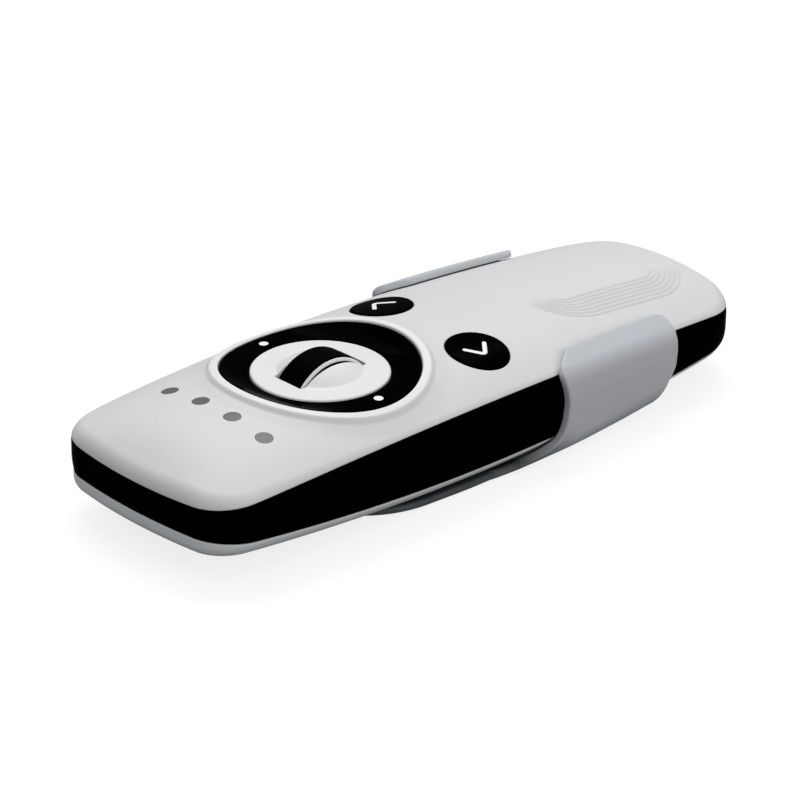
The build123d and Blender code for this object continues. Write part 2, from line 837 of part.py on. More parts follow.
def arm_side_view():
    """The arms seen from the side: a curved front edge, a rounded rear and an upright heel."""
    above = holder_gap + lip_thickness + crown_height
    foot = (arm_foot_y, -belly_depth - holder_gap)
    heel = (arm_heel_y, -arm_heel_depth)
    heel_middle = ((arm_heel_y + 2.0 * arm_rear_y) / 3.0, -(2.0 * arm_heel_depth + arm_rear_depth) / 3.0)
    rear = (arm_rear_y, -arm_rear_depth)
    rear_middle = ((3.0 * arm_rear_y + arm_rear_top_y) / 4.0, -(arm_rear_depth + arm_rear_top_depth) / 2.0)
    rear_top = (arm_rear_top_y, -arm_rear_top_depth)
    over_rear = (arm_rear_top_y, above)
    over_front = (arm_front_y + 2.0 * arm_top_set_back, above)
    return make_face([
        Spline(
            over_front,
            (arm_front_y + arm_top_set_back, -arm_top_depth),
            (arm_front_y, -arm_front_depth),
            (arm_front_y + arm_waist_set_back, -arm_waist_depth),
            (arm_front_y + arm_toe_set_back, -arm_toe_depth),
            foot,
        ),
        Line(foot, (arm_foot_y, -holder_depth)),
        Line((arm_foot_y, -holder_depth), (arm_heel_y, -holder_depth)),
        Line((arm_heel_y, -holder_depth), heel),
        ThreePointArc(heel, heel_middle, rear),
        ThreePointArc(rear, rear_middle, rear_top),
        Line(rear_top, over_rear),
        Line(over_rear, over_front),
    ])


def holder_arms():
    """Two arms that follow the handset's sides and hook over its edges."""
    top = holder_gap + lip_thickness
    bottom = holder_depth - belly_depth + holder_back_trim
    block = rounded_form(holder_gap + arm_thickness, top, bottom, holder_top_radius, holder_edge_radius)
    return block & extrude(Plane.YZ * arm_side_view(), amount=tall, both=True)


def make_holder():
    """Clip for the wall: two arms on a flat back with a tongue that runs forward."""
    length = tongue_rear_y - tongue_front_y
    plan = Rectangle(2.0 * tongue_half_width, length)
    plan = Pos(0.0, tongue_front_y + length / 2.0) * plan
    plan = fillet(plan.vertices().sort_by(Axis.Y)[:2], tongue_corner_radius)
    top = -belly_depth - holder_gap
    tongue = extrude(Pos(0.0, 0.0, -holder_depth) * plan, amount=top + holder_depth)
    tongue = fillet(tongue.faces().sort_by(Axis.Z)[0].edges(), tongue_edge_radius)
    clip = holder_arms() - body_form(holder_gap)
    lip_plan = make_face(Polyline(
        (-lip_front_x - 2.0 * lip_corner_width, lip_front_y - 2.0 * lip_corner_length),
        (lip_front_x + 2.0 * lip_corner_width, lip_front_y - 2.0 * lip_corner_length),
        (lip_front_x, lip_front_y),
        (lip_rear_x, lip_rear_y),
        (lip_rear_x, reach),
        (-lip_rear_x, reach),
        (-lip_rear_x, lip_rear_y),
        (-lip_front_x, lip_front_y),
        close=True,
    ))
    clip -= extrude(Pos(0.0, 0.0, -lip_cut_depth) * lip_plan, amount=tall)
    clip += tongue
    for i in range(2):
        y = wall_hole_near_y + i * wall_hole_spacing
        clip -= upright(wall_hole_radius, -tall, 0.0, 0.0, y)
        sink_height = wall_hole_head_radius - wall_hole_radius
        sink = Cone(wall_hole_radius, wall_hole_head_radius, sink_height)
        clip -= Pos(0.0, y, top - sink_height / 2.0) * sink
    return clip


pieces = {
    "holder": make_holder(),
    "top_shell": make_top_shell(),
    "side_band": make_side_band(),
    "bottom_shell": make_bottom_shell(),
    "battery_cap": make_battery_cap(),
    "rocker_ring": make_rocker_ring(),
    "ring_marks": make_ring_marks(),
    "pad_disc": make_pad_disc(),
    "wheel_yoke": make_wheel_yoke(),
    "wheel_encoder": make_wheel_encoder(),
    "wheel_hub": make_wheel_hub(),
    "wheel_tyre": make_wheel_tyre(),
    "wheel_axle": make_wheel_axle(),
    "left_button": make_button(-1.0),
    "right_button": make_button(1.0),
    "left_chevron": make_chevron(-1.0),
    "right_chevron": make_chevron(1.0),
    "left_key_dome": make_key_dome(-1.0),
    "right_key_dome": make_key_dome(1.0),
    "pad_domes": make_pad_domes(),
    "light_guides": make_light_guides(),
    "status_leds": make_status_leds(),
    "circuit_board": make_circuit_board(),
    "controller_chip": chip(controller_size, controller_size, controller_height, 0.0, controller_y),
    "radio_chip": chip(radio_size, radio_size, radio_height, 0.0, radio_y),
    "crystal_can": chip(crystal_length, crystal_width, crystal_height, crystal_x, radio_y),
    "antenna_coil": make_antenna_coil(),
    "smoothing_capacitor": upright(capacitor_radius, -board_bottom_depth - capacitor_height,
                                   -board_bottom_depth, capacitor_x, capacitor_y),
    "ring_switches": make_ring_switches(),
    "prog_switch": make_prog_switch(),
    "prog_button": make_prog_button(),
    "coin_cell": make_coin_cell(),
    "cell_holder": make_cell_holder(),
    "cell_minus_contact": make_cell_minus_contact(),
    "cell_plus_contact": make_cell_plus_contact(),
    "case_screws": make_case_screws(),
}

to_wall = Pos(0.0, pad_from_near_end - body_length / 2.0, holder_depth)
os.makedirs("parts", exist_ok=True)
for name, piece in pieces.items():
    export_step(to_wall * piece, f"parts/{name}.step")
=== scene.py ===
"""The looks of a smart home remote control in its wall holder.

Every shape is worked out in millimetres about the centre of the pad's flat top: X across the
handset, Y towards its far end, Z up. One function then puts the points into the row's frame, in
metres. Loops run anticlockwise seen from above.
"""

import json
import math

import bmesh
import bpy
import numpy as np
from mathutils import Matrix, Vector
from mathutils.geometry import delaunay_2d_cdt


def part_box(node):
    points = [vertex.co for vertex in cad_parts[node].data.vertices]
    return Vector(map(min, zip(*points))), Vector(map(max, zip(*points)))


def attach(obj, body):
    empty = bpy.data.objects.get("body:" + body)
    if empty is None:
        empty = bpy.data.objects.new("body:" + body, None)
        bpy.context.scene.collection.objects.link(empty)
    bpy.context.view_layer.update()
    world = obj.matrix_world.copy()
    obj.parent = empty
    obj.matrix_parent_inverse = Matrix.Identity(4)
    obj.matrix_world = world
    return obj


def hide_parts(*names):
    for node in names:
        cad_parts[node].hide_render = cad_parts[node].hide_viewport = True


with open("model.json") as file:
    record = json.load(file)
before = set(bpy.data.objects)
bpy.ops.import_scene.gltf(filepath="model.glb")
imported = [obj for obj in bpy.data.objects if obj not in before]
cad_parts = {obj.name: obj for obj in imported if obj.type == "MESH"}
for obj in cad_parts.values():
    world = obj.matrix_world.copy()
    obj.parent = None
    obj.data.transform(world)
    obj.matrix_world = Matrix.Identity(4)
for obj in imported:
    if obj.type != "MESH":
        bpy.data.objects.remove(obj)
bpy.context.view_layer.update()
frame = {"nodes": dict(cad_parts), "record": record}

MM = 0.001


def box_mm(node):
    """A CAD node's lowest and highest corner in millimetres, in the row's frame."""
    low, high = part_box(node)
    return np.array(low) / MM, np.array(high) / MM


# How far the wheel's axis lies below the pad's flat top
wheel_axis_depth = 6.8

# Sizes read from the frame
wheel_low, wheel_high = box_mm("wheel_hub")
band_low, band_high = box_mm("side_band")
holder_low = box_mm("holder")[0]
wheel_radius = (wheel_high[2] - wheel_low[2]) / 2.0
rim_half_width = (wheel_high[0] - wheel_low[0]) / 2.0
wheel_middle = (wheel_low + wheel_high) / 2.0
pad_middle = wheel_middle + np.array([0.0, 0.0, wheel_axis_depth])
half_width = (band_high[0] - band_low[0]) / 2.0
near_y = band_low[1] - pad_middle[1]
far_y = band_high[1] - pad_middle[1]
holder_depth = pad_middle[2] - holder_low[2]

# Handset, seen from above
widest_y = 12.0
side_bow = 862.0
near_bow = 104.0
far_bow = 200.0
near_corner = 9.0
far_corner = 11.5

# Handset, seen from the side
crown_height = 1.23
crown_slope = 0.0165
crown_length_radius = 625.0
crown_cross_radius = 67.6
near_roll_depth = 3.9
near_roll_length = 14.0
far_roll_depth = 0.4
far_roll_length = 12.0
side_roll_depth = 1.05
side_roll_width = 10.0
belly_depth = 19.0
belly_y = 26.0
belly_radius = 720.0
upper_joint_depth = 4.25
upper_joint_y = 15.0
upper_joint_radius = 705.0
lower_joint_depth = 17.0
lower_joint_y = 33.0
lower_joint_radius = 660.0
barrel_low = 0.78
barrel_low_ends = 0.15

# Rounded edges all round the handset: their radii, and between which places one turns into another
side_edge_radius = 2.7
near_edge_radius = 3.7
near_edge_from = 22.0
near_edge_to = 41.0
far_edge_radius = 3.6
far_edge_from = 66.0
far_edge_to = 86.0
bottom_side_radius = 3.4
bottom_near_radius = 2.0

# Joints between cover, band and lower case
edge_round = 0.2
joint_step = 0.1
joint_gap = 0.02
joint_tuck = 1.2
band_wall = 1.6

# Collar, rocker ring and pad
collar_radius = 18.06
collar_rim_radius = 19.5
collar_foot_radius = 20.5
collar_skirt_radius = 23.2
collar_rise = 1.2
collar_step = 0.65
collar_round = 0.35
well_depth = 3.2
key_gap = 0.25
ring_step = 0.25
ring_inner_radius = 12.78
ring_inner_drop = 0.12
ring_dish = 0.55
ring_round = 0.3
ring_low = -3.2
mark_radius = 0.87
mark_x = 15.1
mark_stand = 0.03
mark_round = 0.06
mark_depth = 0.5
pad_radius = 12.5
pad_round = 0.4
pad_depth = 3.0
dome_radius = 7.7
dome_height = 2.75
dome_blend = 0.1
slot_half_x = 3.62
slot_half_y = 7.82
slot_corner = 0.45
slot_round = 0.16
slot_depth = 1.8

# Wheel
tread_half_width = 2.85
tread_wall = 1.3
rim_drop = 0.22
rim_height = 0.6
rim_bevel = 0.33
wheel_bore = 1.0

# Keys, chevrons and windows
button_radius = 5.83
button_hole_radius = 5.93
button_x = 12.53
button_y = 26.39
button_stand = 0.3
button_round = 0.35
button_depth = 3.4
button_hole_round = 0.16
button_hole_depth = 1.6
chevron_shift = 0.3
chevron_reach = 1.8
chevron_back = 1.0
chevron_half_height = 2.4
chevron_stroke = 0.85
chevron_bend = 0.95
chevron_stand = 0.03
chevron_depth = 0.3
window_radius = 1.59
window_x = (4.16, 12.44)
window_y = -24.15
window_gap = 0.03
window_sink = 0.04
window_round = 0.08
window_depth = 1.5
window_hole_round = 0.05
window_hole_depth = 0.5

# Engraved lines near the far end
line_count = 7
line_pitch = 1.13
line_pitch_along = 0.85
line_width = 0.62
line_depth = 0.34
lines_half_width = 13.9
lines_near_y = 47.2
lines_far_y = 85.8
lines_far_corner = 13.0
lines_near_corner = 9.5
lines_fade_from = 1.5
lines_fade_to = 7.5
lines_border = 0.6

# Openings in the underside: the battery cap's, the program button's and two screws on each side
cap_y = 26.0
cap_hole_radius = 14.2
prog_y = -22.0
prog_hole_radius = 1.62
screw_places = ((15.6, -32.0), (14.6, 66.0))
screw_hole_radius = 2.3
under_hole_round = 0.15
under_hole_depth = 1.2

# Holder
holder_gap = 0.3
arm_thickness = 1.7
lip_thickness = 1.4
holder_draft = 0.09
draft_from = 9.0
under_depth = 2.6
rim_round = 0.45
top_turn = 2.9
bottom_turn = 3.6
rear_turn = 1.6
rear_turn_from = 38.0
rear_turn_to = 62.0
lip_slope = 0.58
hole_radius = 1.9
hole_head_radius = 3.3
hole_places = (0.0, 28.0)
tongue_half = 21.5
tongue_flare = 0.03
tongue_flare_from = 2.0
tongue_flare_to = 18.0
tongue_corner = 18.0
tongue_front = -11.4
tongue_rear = 44.0

# Curves of the holder, through a few places each: how far the lips' inner edges lie from the
# middle, and the arms' front and rear borders, over the lip by its share and down the arm by height
lip_inner = ((20.0, 21.0), (39.3, 20.2), (52.0, 19.5), (64.8, 18.8), (80.0, 18.0))
lip_front = ((0.0, 40.6), (0.3, 39.4), (0.65, 37.9), (1.0, 36.5))
arm_front = ((-4.6, 35.8), (-6.0, 36.1), (-8.0, 36.8), (-10.5, 37.2), (-13.0, 37.1), (-15.0, 36.5),
             (-16.4, 35.2), (-17.6, 32.6), (-18.7, 29.4), (-19.5, 25.4), (-20.0, 20.8))
back_front_y = 20.4
back_middle_y = 34.0
back_middle_half = 8.0
lip_rear = ((0.0, 64.4), (0.12, 66.0), (0.4, 67.0), (1.0, 67.0))
arm_rear = ((-5.0, 66.6), (-8.0, 66.7), (-12.0, 66.7), (-14.5, 66.0), (-16.5, 64.9), (-18.2, 63.8),
            (-19.6, 63.0))
back_rear_y = 62.6

# Tints: how far the collar rim's reaches, and where the shade on the holder's foot starts and ends
pale_rim_inside = 0.1
pale_rim_outside = 0.3
shade_from_y = 27.0
shade_to_y = 40.0
shade_from_x = 14.0
shade_to_x = 17.0
shade_levels = (-21.0, -19.2, -17.5, -13.5)
shade_least = 0.7

# Studio, its levels as shares of white, and the photograph's camera
floor_paint = "909090"
floor_reach = 4.0
floor_lift = 0.80
horizon_level = 0.30
zenith_level = 0.62
camera_place = (465.753, -421.140, 298.220)
camera_aim = (9.1753, 10.7353, -6.1416)
camera_roll = 0.591
camera_lens = 177.42
camera_sensor = 36.0

# Fineness of the meshes: points round a loop, rows, where the holder's section is measured, and the
# spacing and margins of loose points
fine_turn = 288
wall_rows = 4
arc_rows = 12
slope_from = 0.6
slope_to = 1.8
wall_support = 0.06
seam_merge = 0.002
sliver_merge = 0.0005
section_y = 45.0
cover_pitch = 1.15
cover_edge_margin = 0.8
cover_hole_margin = 0.7
cover_fill_inset = 2.4
cover_fill_step = 0.4
lines_margin = 0.6
collar_ring_pitch = 0.16
collar_ring_from = 0.9
collar_ring_to = 0.5
collar_ring_points = 240
collar_margin = 0.6
ring_edge_margin = 0.3
under_fill_step = 0.3
under_pitch = 1.6
under_edge_margin = 1.0
under_hole_margin = 0.8


def side_width(y):
    """Half the handset's width along its length: a shallow arc."""
    return half_width - (y - widest_y) ** 2 / (2.0 * side_bow)


def crown(x, y):
    """Height of the cover: arched both ways, rolled down quadratically at both ends and sides."""
    height = crown_height + crown_slope * y - y**2 / (2.0 * crown_length_radius)
    height = height - x**2 / (2.0 * crown_cross_radius)
    middle = np.maximum(0.0, 1.0 - (x / half_width) ** 2)
    near_share = np.maximum(0.0, (near_y + near_roll_length - y) / near_roll_length)
    far_share = np.maximum(0.0, (y - far_y + far_roll_length) / far_roll_length)
    side_share = np.maximum(0.0, (np.abs(x) - side_width(y) + side_roll_width) / side_roll_width)
    height = height - near_roll_depth * near_share**2 * middle
    height = height - far_roll_depth * far_share**2 * middle
    return height - side_roll_depth * side_share**2


def smooth_step(value, low, high):
    """0 below low, 1 above high, and a smooth S between."""
    share = np.clip((value - low) / (high - low), 0.0, 1.0)
    return share * share * (3.0 - 2.0 * share)


def cover_top(x, y):
    """The crown with the collar raised on it: a short step, then a soft skirt."""
    radius = np.hypot(x, y)
    skirt = 1.0 - smooth_step(radius, collar_rim_radius, collar_skirt_radius)
    step = 1.0 - smooth_step(radius, collar_rim_radius, collar_foot_radius)
    return crown(x, y) + (collar_rise - collar_step) * skirt + collar_step * step


def belly(x, y):
    """Height of the underside: an arc along the length."""
    return -belly_depth + (y - belly_y) ** 2 / (2.0 * belly_radius) + 0.0 * x


def upper_joint(y):
    """Height of the joint between cover and band."""
    return -upper_joint_depth - (y - upper_joint_y) ** 2 / (2.0 * upper_joint_radius)


def lower_joint(y):
    """Height of the joint between band and lower case."""
    return -lower_joint_depth + (y - lower_joint_y) ** 2 / (2.0 * lower_joint_radius)


def draft(z):
    """How far the holder's sides draw in below draft_from, on their way down to the flat back."""
    return holder_draft * np.maximum(0.0, -draft_from - z)


def arc_samples(middle, radius, first, last, count):
    """Middle, radius and angle for points along one arc, its last point left out."""
    angles = np.linspace(first, last, count, endpoint=False)
    rows = np.ones((count, 1)) * np.array([[middle[0], middle[1], radius, 0.0]])
    rows[:, 3] = angles
    return rows


def corner_middle(side_middle, end_middle, end_radius, corner, upwards):
    """Middle of the corner arc that touches a side arc and an end arc from inside."""
    reach_a = side_bow - corner
    reach_b = end_radius - corner
    gap = end_middle - side_middle
    distance = np.hypot(*gap)
    along = (reach_a**2 - reach_b**2 + distance**2) / (2.0 * distance)
    aside = math.sqrt(reach_a**2 - along**2)
    unit = gap / distance
    turned = np.array([unit[1], -unit[0]])
    places = [side_middle + along * unit + sign * aside * turned for sign in (-1.0, 1.0)]
    return max(places, key=lambda p: p[1] if upwards else -p[1])


def plan_arcs():
    """The handset's plan as samples on eight arcs that touch, for both halves."""
    side_middle = np.array([half_width - side_bow, widest_y])
    near_middle = np.array([0.0, near_y + near_bow])
    far_middle = np.array([0.0, far_y - far_bow])
    near_turn = corner_middle(side_middle, near_middle, near_bow, near_corner, False)
    far_turn = corner_middle(side_middle, far_middle, far_bow, far_corner, True)

    def angle(start, end):
        return math.atan2(end[1] - start[1], end[0] - start[0])

    bends = [-math.pi / 2.0, angle(near_middle, near_turn), angle(side_middle, near_turn),
             angle(side_middle, far_turn), angle(far_middle, far_turn), math.pi / 2.0]
    parts = [
        arc_samples(near_middle, near_bow, bends[0], bends[1], 26),
        arc_samples(near_turn, near_corner, bends[1], bends[2], 30),
        arc_samples(side_middle, side_bow, bends[2], bends[3], 130),
        arc_samples(far_turn, far_corner, bends[3], bends[4], 34),
        arc_samples(far_middle, far_bow, bends[4], bends[5], 22),
        np.array([[far_middle[0], far_middle[1], far_bow, bends[5]]]),
    ]
    right = np.concatenate(parts)
    left = right[1:-1][::-1].copy()
    left[:, 0] *= -1.0
    left[:, 3] = math.pi - left[:, 3]
    return np.concatenate([right, left])


arcs = plan_arcs()
plan_count = len(arcs)
plan_normals = np.column_stack([np.cos(arcs[:, 3]), np.sin(arcs[:, 3])])


def outline(inset):
    """The plan moved inwards by one distance, or by one for each point."""
    return arcs[:, :2] + plan_normals * (arcs[:, 2] - inset)[:, None]


# For each point of the plan: its place along the handset, how squarely it faces an end, its edge radii
plan_y = outline(np.zeros(plan_count))[:, 1]
end_face = plan_normals[:, 1] ** 2
near_end = end_face * (plan_y < 0.0)
bottom_edge_radius = bottom_side_radius + (bottom_near_radius - bottom_side_radius) * near_end
near_blend = smooth_step(-plan_y, near_edge_from, near_edge_to)
far_blend = smooth_step(plan_y, far_edge_from, far_edge_to)
top_edge_radius = side_edge_radius + (near_edge_radius - side_edge_radius) * near_blend
top_edge_radius = top_edge_radius + (far_edge_radius - side_edge_radius) * far_blend


def barrel(z):
    """How far each point of the side lies inside its widest place: a parabola from mid-band down."""
    middle = (upper_joint(plan_y) + lower_joint(plan_y)) / 2.0
    half = (upper_joint(plan_y) - lower_joint(plan_y)) / 2.0
    depth = barrel_low + (barrel_low_ends - barrel_low) * end_face
    return depth * np.clip((middle - z) / half, 0.0, 1.0) ** 2


def lifted(plan, height, extra=0.0):
    """Points of a plan, put onto a surface and raised by a distance."""
    return np.column_stack([plan, height(plan[:, 0], plan[:, 1]) + extra])


def flat_at(level):
    """A surface of one height."""
    return lambda x, y: np.full(len(x), level)


def edge_slopes(height):
    """How steeply a surface rises inwards at the plan's edge."""
    levels = [lifted(outline(np.full(plan_count, inset)), height)[:, 2] for inset in (slope_from, slope_to)]
    return (levels[1] - levels[0]) / (slope_to - slope_from)


def edge_drop(slope, radius, inset):
    """How far a rolling ball's arc lies below a sloping surface at a distance from the wall."""
    root = np.sqrt(1.0 + slope**2)
    arc = np.sqrt(np.maximum(0.0, radius**2 - (inset - radius) ** 2))
    return slope * inset - (slope * radius - radius * root + arc)


def wall_end(height, radius):
    """Height where the upright side turns into the rounded edge."""
    points = outline(np.zeros(plan_count))
    return height(points[:, 0], points[:, 1]) - edge_drop(edge_slopes(height), radius, 0.0)


def under(x, y):
    """Depth of the underside, so that it can be rounded as the cover is."""
    return -belly(x, y)


top_wall_end = wall_end(crown, top_edge_radius)
bottom_wall_end = -wall_end(under, bottom_edge_radius)


def side_inset(z):
    """Distance of the side from the plan's edge at a height, for every point of the plan."""
    over = np.clip(z - top_wall_end, 0.0, top_edge_radius * 0.98)
    below = np.clip(bottom_wall_end - z, 0.0, bottom_edge_radius * 0.98)
    inset = barrel(z) + top_edge_radius - np.sqrt(top_edge_radius**2 - over**2)
    return inset + bottom_edge_radius - np.sqrt(bottom_edge_radius**2 - below**2)


def edge_rows(height, radius, start):
    """Rows of inset and height from a joint up the wall and round the edge onto a surface.

    The edge is a rolling ball's arc: inset is radius times 1 less the cosine of the turn.
    """
    slope = edge_slopes(height)
    wall_top = wall_end(height, radius)
    first = np.arcsin(np.clip((start - wall_top) / radius, 0.0, 0.95))
    last = np.arccos(slope / np.sqrt(1.0 + slope**2))
    rows = []
    for k in range(wall_rows):
        level = start + (np.maximum(wall_top, start) - start) * k / wall_rows
        rows.append((radius * (1.0 - np.cos(first)), level))
    for k in range(arc_rows + 1):
        turn = first + (last - first) * k / arc_rows
        inset = radius * (1.0 - np.cos(turn))
        rows.append((inset, lifted(outline(inset), height)[:, 2] - edge_drop(slope, radius, inset)))
    return rows


def loop_points(inset, level):
    """Points of one loop of the plan at an inset and a height."""
    plan = outline(inset)
    return np.column_stack([plan, level])


def round_steps(rounding, count):
    """How far in and how far down the points of a quarter-round edge lie, from its top to its wall."""
    turns = np.linspace(0.0, math.pi / 2.0, count)
    return [(rounding * (1.0 - math.sin(turn)), rounding * (1.0 - math.cos(turn))) for turn in turns]


def joint_lip(start, sign):
    """Rows from inside a joint round its small edge, upwards for sign 1 and downwards for -1."""
    first_inset = side_inset(start + sign * edge_round)
    rows = [loop_points(first_inset + joint_tuck, start)]
    for inset, away in round_steps(edge_round, 5):
        rows.append(loop_points(first_inset + inset, start + sign * away))
    return rows


def ring_grid(rows, flip=False, across=True):
    """Quads between rows of points; across says that each row is a closed loop."""
    points = np.concatenate(rows)
    count = len(rows[0])
    spans = count if across else count - 1
    here = np.arange(spans)[None, :]
    there = (here + 1) % count
    base = np.arange(len(rows) - 1)[:, None] * count
    quads = np.stack([base + here, base + there, base + count + there, base + count + here], axis=-1)
    quads = quads.reshape(-1, 4)
    return points, quads[:, ::-1] if flip else quads


def circle(radius, middle, count):
    """A round loop in plan."""
    turn = np.linspace(0.0, 2.0 * math.pi, count, endpoint=False)
    return np.column_stack([middle[0] + radius * np.cos(turn), middle[1] + radius * np.sin(turn)])


def rounded_box(half_x, half_y, corner, middle, inset, corner_steps=24, long_steps=26, short_steps=14):
    """A round-cornered rectangle in plan, moved inwards, with as many points at every inset.

    corner is one radius, or the far and the near one.
    """
    far, near = np.broadcast_to(corner, 2)
    corners = [(1.0, 1.0, far), (-1.0, 1.0, far), (-1.0, -1.0, near), (1.0, -1.0, near)]
    turns = []
    for i, (sx, sy, reach) in enumerate(corners):
        angle = np.linspace(i * math.pi / 2.0, (i + 1) * math.pi / 2.0, corner_steps)
        turn_middle = np.array([middle[0] + sx * (half_x - reach), middle[1] + sy * (half_y - reach)])
        turns.append(turn_middle + (reach - inset) * np.column_stack([np.cos(angle), np.sin(angle)]))
    parts = []
    for i, turn in enumerate(turns):
        steps = short_steps if i % 2 == 0 else long_steps
        share = (np.arange(1, steps) / steps)[:, None]
        parts += [turn, turn[-1] + (turns[(i + 1) % 4][0] - turn[-1]) * share]
    return np.concatenate(parts)


def inside_loop(points, loop):
    """Even-odd test of points against a closed loop, all at once."""
    x, y = points[:, 0][:, None], points[:, 1][:, None]
    x0, y0 = loop[:, 0][None, :], loop[:, 1][None, :]
    x1, y1 = np.roll(loop[:, 0], -1)[None, :], np.roll(loop[:, 1], -1)[None, :]
    crosses = (y0 > y) != (y1 > y)
    rise = np.where(np.abs(y1 - y0) < 1e-12, 1e-12, y1 - y0)
    return (np.sum(crosses & (x < (x1 - x0) * (y - y0) / rise + x0), axis=1) % 2) == 1


def fill_plan(outer, holes, loose, height, flip=False):
    """Triangles between an outer loop and its holes, lifted onto a height function."""
    loops = [outer] + holes
    plan = np.concatenate(loops + [loose])
    edges = []
    start = 0
    for loop in loops:
        index = start + np.arange(len(loop))
        edges += list(zip(index.tolist(), np.roll(index, -1).tolist()))
        start += len(loop)
    found = delaunay_2d_cdt([Vector(p) for p in plan.tolist()], edges, [], 0, 1e-7)
    flat = np.array([v[:] for v in found[0]])
    triangles = np.array(found[2])
    middles = flat[triangles].mean(axis=1)
    keep = inside_loop(middles, outer)
    for hole in holes:
        keep &= ~inside_loop(middles, hole)
    triangles = triangles[keep]
    a, b, c = (flat[triangles[:, k]] for k in range(3))
    turned = (b[:, 0] - a[:, 0]) * (c[:, 1] - a[:, 1]) - (b[:, 1] - a[:, 1]) * (c[:, 0] - a[:, 0]) < 0.0
    turned ^= flip
    triangles[turned] = triangles[turned][:, ::-1]
    return lifted(flat, height), triangles


def hexagon_points(x_reach, y_low, y_high, pitch):
    """Evenly spread points for the inside of a filled plan."""
    y_values = np.arange(y_low, y_high, pitch * math.sqrt(0.75))
    x_values = np.arange(-x_reach, x_reach, pitch)
    x, y = np.meshgrid(x_values, y_values)
    x = x + pitch / 2.0 * (np.arange(len(y_values)) % 2)[:, None]
    return np.column_stack([x.ravel(), y.ravel()])


def clear_of(points, hole, margin):
    """Which points lie further than a margin outside a round loop."""
    middle = hole.mean(axis=0)
    reach = np.hypot(*(hole[0] - middle)) + margin
    return np.hypot(points[:, 0] - middle[0], points[:, 1] - middle[1]) > reach


def hole_edge(radius, middle, count, height, rounding, depth, support=0.25):
    """Rows from the surface round the edge of a round hole and down its wall."""
    brink = circle(radius + rounding, middle, count)
    level = height(brink[:, 0], brink[:, 1])
    rows = [lifted(circle(radius + rounding + support, middle, count), height)]
    for inset, drop in round_steps(rounding, 6):
        rows.append(np.column_stack([circle(radius + inset, middle, count), level - drop]))
    for drop in (wall_support, depth):
        rows.append(rows[-1] - np.array([0.0, 0.0, drop]))
    return rows


def join_parts(parts):
    """One list of points and faces from several."""
    points = []
    faces = []
    start = 0
    for part_points, part_faces in parts:
        points.append(part_points)
        faces += (part_faces + start).tolist()
        start += len(part_points)
    return np.concatenate(points), faces


def to_row(points):
    """Millimetres about the pad's middle to metres in the row's frame."""
    return (np.asarray(points) + pad_middle) * MM


def make_piece(name, parts, material, body, nodes):
    """A mesh from its parts, with its seams and poles merged, riding on its body."""
    points, faces = join_parts(parts)
    mesh = bpy.data.meshes.new(name)
    mesh.from_pydata(to_row(points).tolist(), [], faces)
    shape = bmesh.new()
    shape.from_mesh(mesh)
    bmesh.ops.remove_doubles(shape, verts=shape.verts, dist=seam_merge * MM)
    bmesh.ops.dissolve_degenerate(shape, edges=shape.edges, dist=sliver_merge * MM)
    shape.to_mesh(mesh)
    shape.free()
    mesh.polygons.foreach_set("use_smooth", [True] * len(mesh.polygons))
    mesh.materials.append(material)
    piece = bpy.data.objects.new(name, mesh)
    bpy.context.scene.collection.objects.link(piece)
    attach(piece, body)
    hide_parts(*nodes)
    return piece


def engraving_offsets():
    """Distances inwards at which the engraved lines' grid has a row."""
    marks = [-lines_border]
    for i in range(line_count):
        marks += [i * line_pitch + share * line_width for share in (-0.5, -0.25, 0.0, 0.25, 0.5)]
    return np.array(marks + [(line_count - 1) * line_pitch + lines_border])


def engraving_depth(inset, x):
    """Depth of the engraved lines: a cosine groove at each line, fading towards the left."""
    nearest = np.clip(np.round(inset / line_pitch), 0, line_count - 1) * line_pitch
    share = np.clip(np.abs(inset - nearest) / (line_width / 2.0), 0.0, 1.0)
    return line_depth * np.cos(share * math.pi / 2.0) ** 2 * smooth_step(x, lines_fade_from, lines_fade_to)


def lines_loop(inset):
    """One loop of the engraved lines' rounded rectangle."""
    middle = (0.0, (lines_near_y + lines_far_y) / 2.0)
    along = inset * line_pitch_along / line_pitch
    half_length = (lines_far_y - lines_near_y) / 2.0 - along
    corners = (lines_far_corner - inset, lines_near_corner - inset)
    return rounded_box(lines_half_width - inset, half_length, corners, middle, 0.0)


def cover_edge():
    """The cover's swept edge, up to the inset at which its filled top starts, and that inset."""
    start = upper_joint(plan_y)
    swept = edge_rows(crown, top_edge_radius, start + edge_round)
    rows = joint_lip(start, 1.0)
    lip_rows = len(rows)
    rows += [loop_points(inset, level) for inset, level in swept]
    last_inset = swept[-1][0]
    fill_inset = np.maximum(cover_fill_inset, last_inset + cover_fill_step)
    for share in (0.08, 0.5, 1.0):
        rows.append(lifted(outline(last_inset + (fill_inset - last_inset) * share), crown))
    points, faces = ring_grid(rows)
    on_top = np.repeat(np.arange(len(rows)) >= lip_rows, plan_count)
    x, y = points[:, 0], points[:, 1]
    points[:, 2] += (cover_top(x, y) - crown(x, y)) * on_top
    return (points, faces), fill_inset


def cover_holes():
    """Rows of the collar's well, the two key holes and the four window holes."""
    holes = [hole_edge(collar_radius, (0.0, 0.0), fine_turn, cover_top, collar_round, well_depth, 0.2)]
    for side in (-1.0, 1.0):
        holes.append(hole_edge(button_hole_radius, (side * button_x, button_y), 128, cover_top,
                               button_hole_round, button_hole_depth))
        for x in window_x:
            holes.append(hole_edge(window_radius, (side * x, window_y), 64, cover_top,
                                   window_hole_round, window_hole_depth, 0.15))
    return holes


